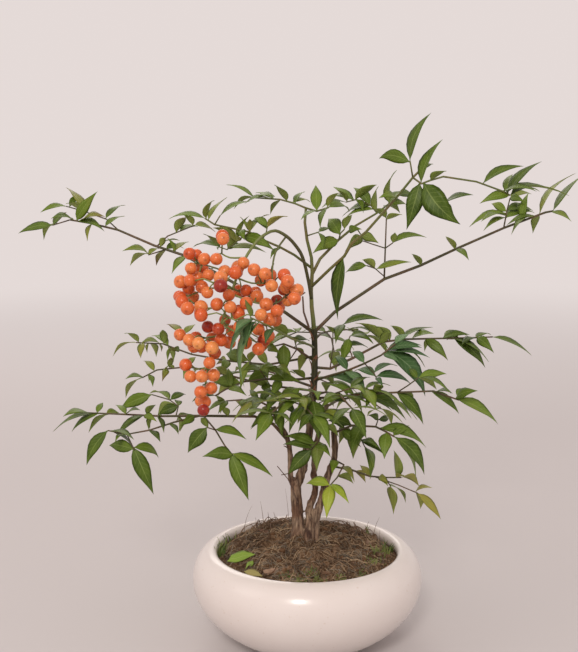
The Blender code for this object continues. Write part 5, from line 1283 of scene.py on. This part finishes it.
leaflet.data.shade_smooth()
blade_plan = np.array([point.co[:] for point in leaflet.data.vertices])


def blade_points(base, tip, normal, width, arch, fold, sickle, twist):
    """The leaflet's points bent to this blade: arched from base to tip, folded along the midrib, swept to one side
    and a little twisted toward the tip."""
    along = tip - base
    length = along.length
    along = along.normalized()
    normal = (normal - along * normal.dot(along)).normalized()
    across = normal.cross(along)
    x, y, z = blade_plan.T
    bow = y * (1.0 - y)
    roll = twist * y * y
    flat = x * width / 2
    rise = np.abs(flat) * fold * (1.0 - 0.5 * y) + z * BLADE_SKIN
    sideways = flat * np.cos(roll) - rise * np.sin(roll) + sickle * length * bow
    sunk = LEAFLET_RIB * 0.5 * np.minimum(1.0, y * 8)
    upward = flat * np.sin(roll) + rise * np.cos(roll) + 4.0 * arch * length * bow - sunk
    sides = np.outer(sideways, across) + np.outer(upward, normal)
    return (np.array(base) + np.outer(y * length, along) + sides) * MM


# How olive each old leaf is, from 0 for deep green to 1, and how brown its tips are. Leaves not named are between.
FROND_TONES = {"leaf_crown": (0.35, 0.5, "green"), "leaf_left_upper": (0.45, 0.6, "green"),
               "leaf_far_left": (0.45, 0.9, "olive"), "leaf_upper_right": (0.3, 0.3, "green"),
               "leaf_crown_right": (0.35, 0.35, "green"), "leaf_long_right": (0.4, 0.5, "olive"),
               "leaf_right_mid": (0.3, 0.5, "olive"), "leaf_right_blue": (0.12, 0.2, "olive"),
               "leaf_right_front": (0.3, 0.4, "olive"), "leaf_right_low": (0.3, 0.3, "olive"),
               "leaf_lower_left": (0.3, 0.35, "olive"), "leaf_left_back": (0.5, 0.9, "olive"),
               "leaf_left_thin": (0.5, 0.8, "olive"), "leaf_over_berries": (0.1, 0.1, "green"),
               "leaf_front": (0.35, 0.2, "olive"), "leaf_lowest_right": (0.72, 0.2, "olive")}
PLAIN_TONE = (0.4, 0.45, "olive")
UPWARD_BOW = 0.26
BOWS = {("leaf_crown_right", 3): -0.3, ("leaf_crown_right", 1): 0.55}

# Smaller leaflets that fill each leaf out, given as the others are.
MORE_LEAFLETS = {
    "leaf_crown": [(-40, 344, -24, 342, 2.7), (-11, 340, 2, 338, 2.5)],
    "leaf_left_upper": [(-56, 313, -69, 321, 5.4), (-54, 312, -47, 321, 4.9), (-41, 322, -28, 329, 3.1), (-30,
        318, -40, 324, 3.1), (-42, 320, -50, 324, 2.7), (-58, 300, -50, 307, 4.9), (-73, 304, -67, 307, 3.1)],
    "leaf_far_left": [(-167, 331, -179, 337, 4), (-173, 325, -190, 326, 3.1), (-170, 326, -150, 327, 3.6), (-110,
        304, -106, 312, 4.9), (-111, 306, -96, 316, 2.5), (-96, 312, -91, 324, 4), (-96, 308, -104, 309, 2.7), (-95,
        317, -81, 320, 2.7), (-105, 305, -92, 304, 4), (-120, 300, -110, 302, 2.5)],
    "leaf_upper_right": [(34, 342, 51, 351, 5.9), (33, 340, 17, 343, 2.9), (52, 339, 68, 341, 3.5), (48, 332, 26,
        329, 3.5)],
    "leaf_crown_right": [(152, 342, 171, 346, 2.9)],
    "leaf_long_right": [(152, 341, 165, 344, 4.7), (148, 326, 168, 330, 5.3), (145, 327, 129, 320, 4.1), (168,
        329, 149, 314, 4.5), (156, 332, 162, 342, 6.5)],
    "leaf_right_mid": [(66, 245, 73, 239, 4.5), (28, 234, 27, 219, 7.4), (1, 212, -13, 218, 5.2), (50, 248, 35,
        248, 5.7), (62, 235, 52, 244, 6.2), (32, 238, 50, 232, 4.3), (69, 236, 96, 238, 3.4), (102, 238, 121, 238,
        3.9), (114, 234, 104, 237, 4.1), (126, 237, 138, 239, 2.5)],
    "leaf_right_blue": [(50, 206, 35, 215, 6.8), (60, 225, 86, 231, 4.3), (71, 219, 92, 222, 3.9), (61, 220, 71,
        217, 5.1), (17, 200, 44, 195, 5.5), (29, 208, 45, 198, 5.7)],
    "leaf_right_front": [(91, 204, 98, 197, 4.5), (91, 205, 109, 194, 3.2), (40, 191, 53, 192, 6.2), (31, 186, 65,
        180, 4.1), (19, 198, 31, 189, 6.8)],
    "leaf_right_low": [(42, 167, 35, 143, 11.4), (68, 145, 86, 121, 5.1), (22, 160, 16, 129, 7.8), (31, 179, 17,
        170, 7), (25, 169, 44, 155, 8.2), (45, 160, 56, 154, 5.1), (48, 149, 51, 136, 3.9)],
    "leaf_lowest_right": [(68, 142, 75, 131, 4.5), (24, 136, 36, 121, 5.7), (55, 130, 63, 123, 5.1)],
    "young_shoot": [(24, 146, 19, 131, 6.8)],
    "leaf_front": [(4, 184, 10, 155, 12.5), (4, 156, -18, 153, 6.5), (17, 179, 40, 176, 3.4)],
    "leaf_centre_left": [(-12, 227, -1, 218, 4.2)],
    "leaf_left_mid": [(-46, 228, -51, 196, 5.7), (-17, 207, -35, 215, 5), (-2, 207, -13, 212, 4.7)],
    "leaf_left_inner": [(-56, 190, -47, 177, 5), (-24, 180, -44, 167, 5.7), (-28, 177, -19, 160, 7.3), (-13, 186,
        -23, 177, 5.7)],
    "leaf_over_berries": [(-46, 239, -60, 220, 4)],
    "leaf_lower_left": [(-86, 189, -98, 168, 6.2), (-104, 189, -120, 194, 2.5), (-88, 189, -114, 177, 7.3), (-87,
        190, -100, 188, 4.2), (-124, 183, -115, 180, 3.6), (-138, 181, -127, 181, 2.5), (-153, 182, -143, 176, 3.6),
        (-119, 177, -120, 168, 4), (-124, 176, -142, 166, 3.3), (-99, 177, -98, 166, 3.6), (-113, 177, -113, 170,
        2.5), (-149, 168, -132, 158, 3.7), (-139, 165, -147, 156, 2.9), (-87, 188, -100, 172, 4.2)],
    "leaf_left_back": [(-111, 232, -126, 232, 4.7), (-104, 232, -118, 235, 4.2), (-126, 230, -127, 224, 2.5),
        (-120, 229, -121, 225, 2.5), (-111, 232, -110, 226, 2.5), (-95, 231, -104, 227, 5), (-104, 227, -105, 221,
        2.9), (-60, 224, -69, 216, 6.2)],
    "leaf_left_thin": [(-101, 219, -107, 218, 2.9), (-107, 215, -106, 210, 2.6), (-120, 208, -120, 203, 2.6),
        (-27, 202, -49, 206, 8.9), (-54, 208, -70, 198, 7.8), (-7, 195, -24, 187, 6.2)]}

room = Room()
for solid in [tube_mesh([Vector((*CROWN_AT, z)) for z in (CROWN_HOLE_FLOOR + GAP, 56.0, 76.5, 79.5)],
                        [9.0, CROWN_RADIUS, CROWN_RADIUS, 10.5], CROWN_SIDES)] + stalk_meshes(CANES, CANE_SIDES):
    room.add(*solid)
for solid in clearance_branches + clearance_pedicels + clearance_berries:
    room.add(*solid)
clearance_stalks = {name: stalk_meshes(frond[1], STALK_SIDES) for name, frond in FRONDS.items()}


def leaf_blades(draw, name, placed):
    """A finished leaflet for each that was placed: bowed upward as it hangs, folded and twisted a little."""
    tone, rust, _ = FROND_TONES.get(name, PLAIN_TONE)
    pieces = []
    for number, (base, tip, normal, width, _) in enumerate(placed):
        copy = twin(leaflet)
        bow = BOWS.get((name, number), UPWARD_BOW) * normal.cross(tip - base).normalized().z
        shape = blade_points(base, tip, normal, width * draw.uniform(0.96, 1.1),
                             LEAFLET_ARCH * draw.uniform(0.7, 1.5), draw.uniform(0.12, 0.5),
                             bow + draw.uniform(-0.1, 0.1), draw.uniform(-0.5, 0.5))
        shape = np.clip(shape, cad_box[0], cad_box[1])
        copy.data.vertices.foreach_set("co", shape.ravel())
        copy.data.update()
        count = len(copy.data.vertices)
        for label, value in (("tone", tone + draw.gauss(0.0, 0.16)), ("rust", rust * draw.random() ** 1.5)):
            paint(copy, label, [value] * count)
        copy.data.materials.append(UPPER_SIDES.get(name, evergreen_leaf))
        copy.data.materials.append(leaf_underside)
        pieces.append(copy)
    return pieces


def room_round(name):
    """All that is placed and the stalks of the other leaves, and this leaf's own stalks."""
    others, own = Room(), Room()
    others.placed = list(room.placed)
    for other, solids in clearance_stalks.items():
        for solid in solids:
            (own if other == name else others).add(*solid)
    return others, own


UPPER_SIDES = {"young_shoot": young_leaf, "leaf_over_berries": sheen_painted_leaf, "leaf_right_blue": sheen_painted_leaf}
TRIES = 6
MORE_SEED = 300
placed_leaflets = {}
siblings = {}
for index, (name, (_, routes, rows)) in enumerate(FRONDS.items()):
    others, own = room_round(name)
    placed_leaflets[name] = leaflets_of(name, routes, rows, others, own, 100 + index)
    first = len(room.placed)
    for _, _, _, _, solid in placed_leaflets[name]:
        room.add(*solid)
    siblings[name] = room.placed[first:]
for index, (name, rows) in enumerate(MORE_LEAFLETS.items()):
    for number, row in enumerate(rows):
        for attempt in range(TRIES):
            others, own = room_round(name)
            same_frond = {id(entry) for entry in siblings[name]}
            others.placed = [entry for entry in others.placed if id(entry) not in same_frond]
            own.placed += siblings[name]
            seed = MORE_SEED + 100 * index + TRIES * number + attempt
            added = leaflets_of(name, FRONDS[name][1], [row], others, own, seed)
            if added:
                placed_leaflets[name] += added
                room.add(*added[0][4])
                siblings[name].append(room.placed[-1])
                break
draw = random.Random(71)
for name, (_, routes, _) in FRONDS.items():
    pieces = leaf_blades(draw, name, placed_leaflets[name])
    stalk_tone = FROND_TONES.get(name, PLAIN_TONE)[2]
    stems = []
    for i, (first, last, route) in enumerate(routes):
        points, radii = placed_route(route, first, last)
        stems.append(tube_mesh(points, [r * 0.92 for r in radii], 8 if i == 0 else 6))
    stem = many_tubes(name + "_stalk", stems, stalk_finishes[stalk_tone])
    stem.data.shade_smooth()
    frond = joined(name + "_fine", [stem] + pieces)
    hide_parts(name)

# Three shed leaflets, yellowing and dull, that lie on the soil at the front left and drape over its clods.
# A pale chip of wood lies by them.
shed_leaf = leaf_finish("shed_leaf", "#64802C", "#86A042", "#98A24E", "#B4C276", 0.6)
shed_leaf_dry = leaf_finish("shed_leaf_dry", "#8C8F4E", "#9C8F5A", "#8A7346", "#B5AC7E", 0.75)
SHED_LEAVES = [("fallen_leaf_long", "fallen_leaf_long_fine", shed_leaf, -60.5, -25.5, 4.0, 21.5, 9.0),
               ("fallen_leaf_short", "fallen_leaf_short_fine", shed_leaf_dry, -47.0, -43.0, -33.0, 17.0, 5.8),
               (None, "fallen_leaf_middle_fine", shed_leaf, -41.0, -29.0, -114.0, 13.0, 4.6)]

SHED_TILT = 0.42


def draped(name, finish, x, y, heading, length, width):
    """A leaflet laid on the soil, each point as high as the soil below it."""
    ahead = Vector((math.cos(math.radians(heading)), math.sin(math.radians(heading)), 0.0))
    base = Vector((x, y, 0.0))
    copy = twin(leaflet)
    shape = blade_points(base, base + ahead * length, Vector((0, 0, 1)), width, 0.0, 0.25, 0.05, 0.0) / MM
    heights = [max(soil_height(px, py) + 2.2, soil_top(px, py) + 1.0) for px, py, _ in shape]
    rest = np.array(heights)
    travel = shape @ np.array(ahead)
    smooth_rest = rest * 0.25 + np.polyval(np.polyfit(travel, rest, 2), travel) * 0.75
    shape[:, 2] = shape[:, 2] * 0.8 + np.maximum(smooth_rest, rest + 0.1)
    behind = (shape - np.array(base)) @ np.array((-ahead.y, ahead.x, 0.0)) * (1 if ahead.x > 0 else -1)
    shape[:, 2] += SHED_TILT * (behind + width / 2)
    copy.data.vertices.foreach_set("co", (shape * MM).ravel())
    copy.data.update()
    count = len(copy.data.vertices)
    for label, value in (("tone", 0.4), ("rust", 0.25)):
        paint(copy, label, [value] * count)
    copy.data.materials.append(finish)
    copy.data.materials.append(finish)
    return joined(name, [copy])


for node, name, finish, x, y, heading, length, width in SHED_LEAVES:
    shed = draped(name, finish, x, y, heading, length, width)
    if node:
        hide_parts(node)

# Weathered wood chip and bark scraps: torn flat pieces, pale tan on their split faces.
CHIPS = [(-26.0, -43.0, 25.0, 14.0, 5.0, 2.4, "#C3A084"), (34.0, -30.0, 70.0, 8.0, 3.0, 1.6, "#8C6A52"),
         (-34.0, 22.0, 130.0, 10.0, 3.4, 1.8, "#7A5643"), (22.0, 34.0, 20.0, 12.0, 3.0, 1.6, "#6E4E3C"),
         (48.0, 6.0, 110.0, 9.0, 2.6, 1.5, "#9A7C64"), (12.0, -48.0, 160.0, 9.0, 3.0, 1.6, "#8A6A50")]
chips = []
draw = random.Random(81)
for x, y, heading, length, width, thick, colour in CHIPS:
    split_wood, shader = new_finish(f"split_wood_{len(chips)}", Roughness=0.85)
    place = object_place(split_wood)
    mottle = noise_over(split_wood, place, 300.0, 3.0)
    grainy = blend(split_wood, mottle.outputs["Fac"], "#5A4030", colour)
    feed(shader, "Base Color", grainy.outputs[2])
    bpy.ops.object.select_all(action="DESELECT")
    bpy.ops.mesh.primitive_cube_add(size=1)
    chip = bpy.context.object
    bpy.ops.object.mode_set(mode="EDIT")
    bpy.ops.mesh.subdivide(number_cuts=4)
    bpy.ops.object.mode_set(mode="OBJECT")
    frame_turn = Matrix.Rotation(math.radians(heading), 3, "Z") @ Matrix.Rotation(draw.uniform(-0.25, 0.25), 3, "Y")
    spot = Vector((x, y, soil_top(x, y) + thick * 0.35))
    seed = Vector((draw.uniform(0, 40), draw.uniform(0, 40), 0))
    for point in chip.data.vertices:
        taper = 1.0 - 0.5 * abs(point.co.x) ** 2 * 2
        rough = noise.noise_vector(point.co * 2.6 + seed) * 0.9
        local = Vector((point.co.x * length, point.co.y * width * taper, point.co.z * thick * taper)) + rough
        point.co = (spot + frame_turn @ local) * MM
    chip.data.materials.append(split_wood)
    chips.append(chip)
joined("wood_chips", chips)

# Thin grass that has come up along the rim, a few fine upright stems with nothing on them, and dead grass, all
# growing from the soil. Each blade is a narrow tapered strip.
live_grass, shader = new_finish("live_grass", Roughness=0.55)
place = object_place(live_grass)
mottle = noise_over(live_grass, place, 80.0, 2.0)
patchy = spread(live_grass, mottle.outputs["Fac"], 0.4, 0.6)
grassy = blend(live_grass, patchy.outputs[0], "#4E6428", "#7E8648")
feed(shader, "Base Color", grassy.outputs[2])
dead_stem, shader = new_finish("dead_stem", Roughness=0.85)
place = object_place(dead_stem)
mottle = noise_over(dead_stem, place, 160.0, 2.0)
weathered = blend(dead_stem, mottle.outputs["Fac"], "#54402F", "#8A6E58")
feed(shader, "Base Color", weathered.outputs[2])

GRASS_TUFTS = [(-68.0, 8.0, 15, 12.0), (-66.5, -4.0, 12, 10.0), (60.0, -4.0, 16, 9.0), (55.0, -10.0, 12, 8.0),
               (62.0, 8.0, 12, 9.0), (8.0, -58.0, 44, 4.5), (-6.0, -58.0, 40, 4.0), (-16.0, -52.0, 26, 4.0),
               (24.0, -54.0, 24, 4.5), (2.0, -48.0, 24, 4.0), (40.0, -44.0, 20, 5.0), (50.0, -24.0, 24, 7.0),
               (-60.0, 22.0, 8, 10.0), (50.0, 34.0, 7, 8.0)]
STEMS = [(-34.0, 26.0, 24.0, 0.5), (-30.0, 30.0, 15.0, 0.7), (-14.0, 22.0, 34.0, 0.35), (-50.0, 28.0, 26.0, 0.35),
         (54.0, 32.0, 17.0, 0.5), (48.0, 36.0, 13.0, 0.5), (-40.0, 34.0, 12.0, 0.6), (-62.0, 14.0, 11.0, 0.45),
         (38.0, 30.0, 10.0, 0.5), (-24.0, 40.0, 12.0, 0.5), (58.0, 20.0, 12.0, 0.45)]

LOOSE_STRAW = [(-34.0, 34.0, 16, 7.0), (-18.0, 42.0, 10, 6.0), (46.0, 26.0, 12, 7.0), (34.0, 36.0, 8, 5.0)]


def sprout(draw, x, y, height, thick, wander):
    """A thin upright stem from just under the soil, leaning and curving."""
    lean = Vector((draw.uniform(-1, 1), draw.uniform(-1, 1), 0)) * wander
    foot = Vector((x, y, soil_top(x, y) - 0.8))
    points = [foot + Vector((0, 0, height * k / 4)) + lean * (height * (k / 4) ** 1.8) for k in range(5)]
    return tube_mesh(points, [thick / 2 * (1.0 - 0.2 * k) for k in range(5)], 3)


draw = random.Random(91)
blades = [sprout(draw, x + draw.gauss(0, 2.6), y + draw.gauss(0, 2.2), height * draw.uniform(0.5, 1.0), 0.9, 0.55)
          for x, y, count, height in GRASS_TUFTS for _ in range(count)]
joined("grass", [many_tubes("grass", blades, live_grass)])
stems = [sprout(draw, x, y, height, thick, 0.3) for x, y, height, thick in STEMS]
stems += [strand(draw, x + draw.gauss(0, 4.0), y + draw.gauss(0, 3.0), draw.uniform(12.0, 24.0),
                 draw.uniform(0.4, 0.7), draw.uniform(3.0, high)) for x, y, count, high in LOOSE_STRAW
          for _ in range(count)]
joined("dead_stems", [many_tubes("dead_stems", [s for s in stems if s], dead_stem)])
bpy.data.objects.remove(leaflet, do_unlink=True)

# A wide pale floor and a pale room around it, with soft lamps in front, at the left and behind.
ROOM_COLOUR = "#F3E8E5"
ROOM_STRENGTH = 0.87
bpy.ops.object.select_all(action="DESELECT")
bpy.ops.mesh.primitive_circle_add(vertices=96, radius=6.0, fill_type="NGON", location=(0, 0, -0.0005))
floor = bpy.context.object
floor.name = "floor"
matt_floor, shader = new_finish("matt_floor", Roughness=0.9, Base_Color=linear("#C9C4C3"), Specular_IOR_Level=0.1)
place = object_place(matt_floor)
reach = add_node(matt_floor, "ShaderNodeVectorMath", {0: place}, operation="LENGTH")
far = spread(matt_floor, reach.outputs["Value"], 0.5, 2.6, interpolation_type="SMOOTHSTEP")
haze = add_node(matt_floor, "ShaderNodeEmission", {"Color": linear(ROOM_COLOUR), "Strength": ROOM_STRENGTH})
faded = add_node(matt_floor, "ShaderNodeMixShader", {0: far.outputs[0], 1: shader.outputs[0], 2: haze.outputs[0]})
matt_floor.node_tree.links.new(faded.outputs[0], matt_floor.node_tree.nodes["Material Output"].inputs["Surface"])
floor.data.materials.append(matt_floor)

world = bpy.data.worlds.new("pale_room")
world.use_nodes = True
world.node_tree.nodes["Background"].inputs["Color"].default_value = linear(ROOM_COLOUR)
world.node_tree.nodes["Background"].inputs["Strength"].default_value = ROOM_STRENGTH
bpy.context.scene.world = world

LAMPS = [("key_lamp", (-0.23, -1.5, 1.08), 0.3, 12.0, "#FFF8F2"),
         ("fill_lamp", (-1.5, -0.6, 1.2), 0.9, 2.5, "#FFF6F0"),
         ("rim_lamp", (-0.3, 1.4, 1.1), 0.8, 4.5, "#FFF8F2")]
AIM = Vector((0.0, 0.0, 0.2))
SENSOR_WIDTH = 36.0
FOCAL_PIXELS = 1078.0
PICTURE_ROWS = 652.0
LOOKS_DOWN = 8.7
for name, spot, size, power, colour in LAMPS:
    lamp = bpy.data.lights.new(name, "AREA")
    lamp.size = size
    lamp.energy = power
    lamp.color = linear(colour)[:3]
    holder = bpy.data.objects.new(name, lamp)
    holder.location = spot
    holder.rotation_euler = (AIM - Vector(spot)).to_track_quat("-Z", "Y").to_euler()
    bpy.context.scene.collection.objects.link(holder)

eye = bpy.data.cameras.new("front_eye")
eye.sensor_width = SENSOR_WIDTH
eye.lens = SENSOR_WIDTH * FOCAL_PIXELS / PICTURE_ROWS
eye.clip_start = 0.02
camera = bpy.data.objects.new("front_eye", eye)
camera.location = FRONT_EYE * MM
camera.rotation_euler = (math.radians(90.0 - LOOKS_DOWN), 0.0, 0.0)
bpy.context.scene.collection.objects.link(camera)
bpy.context.scene.camera = camera
bpy.context.scene.view_settings.view_transform = "Standard"
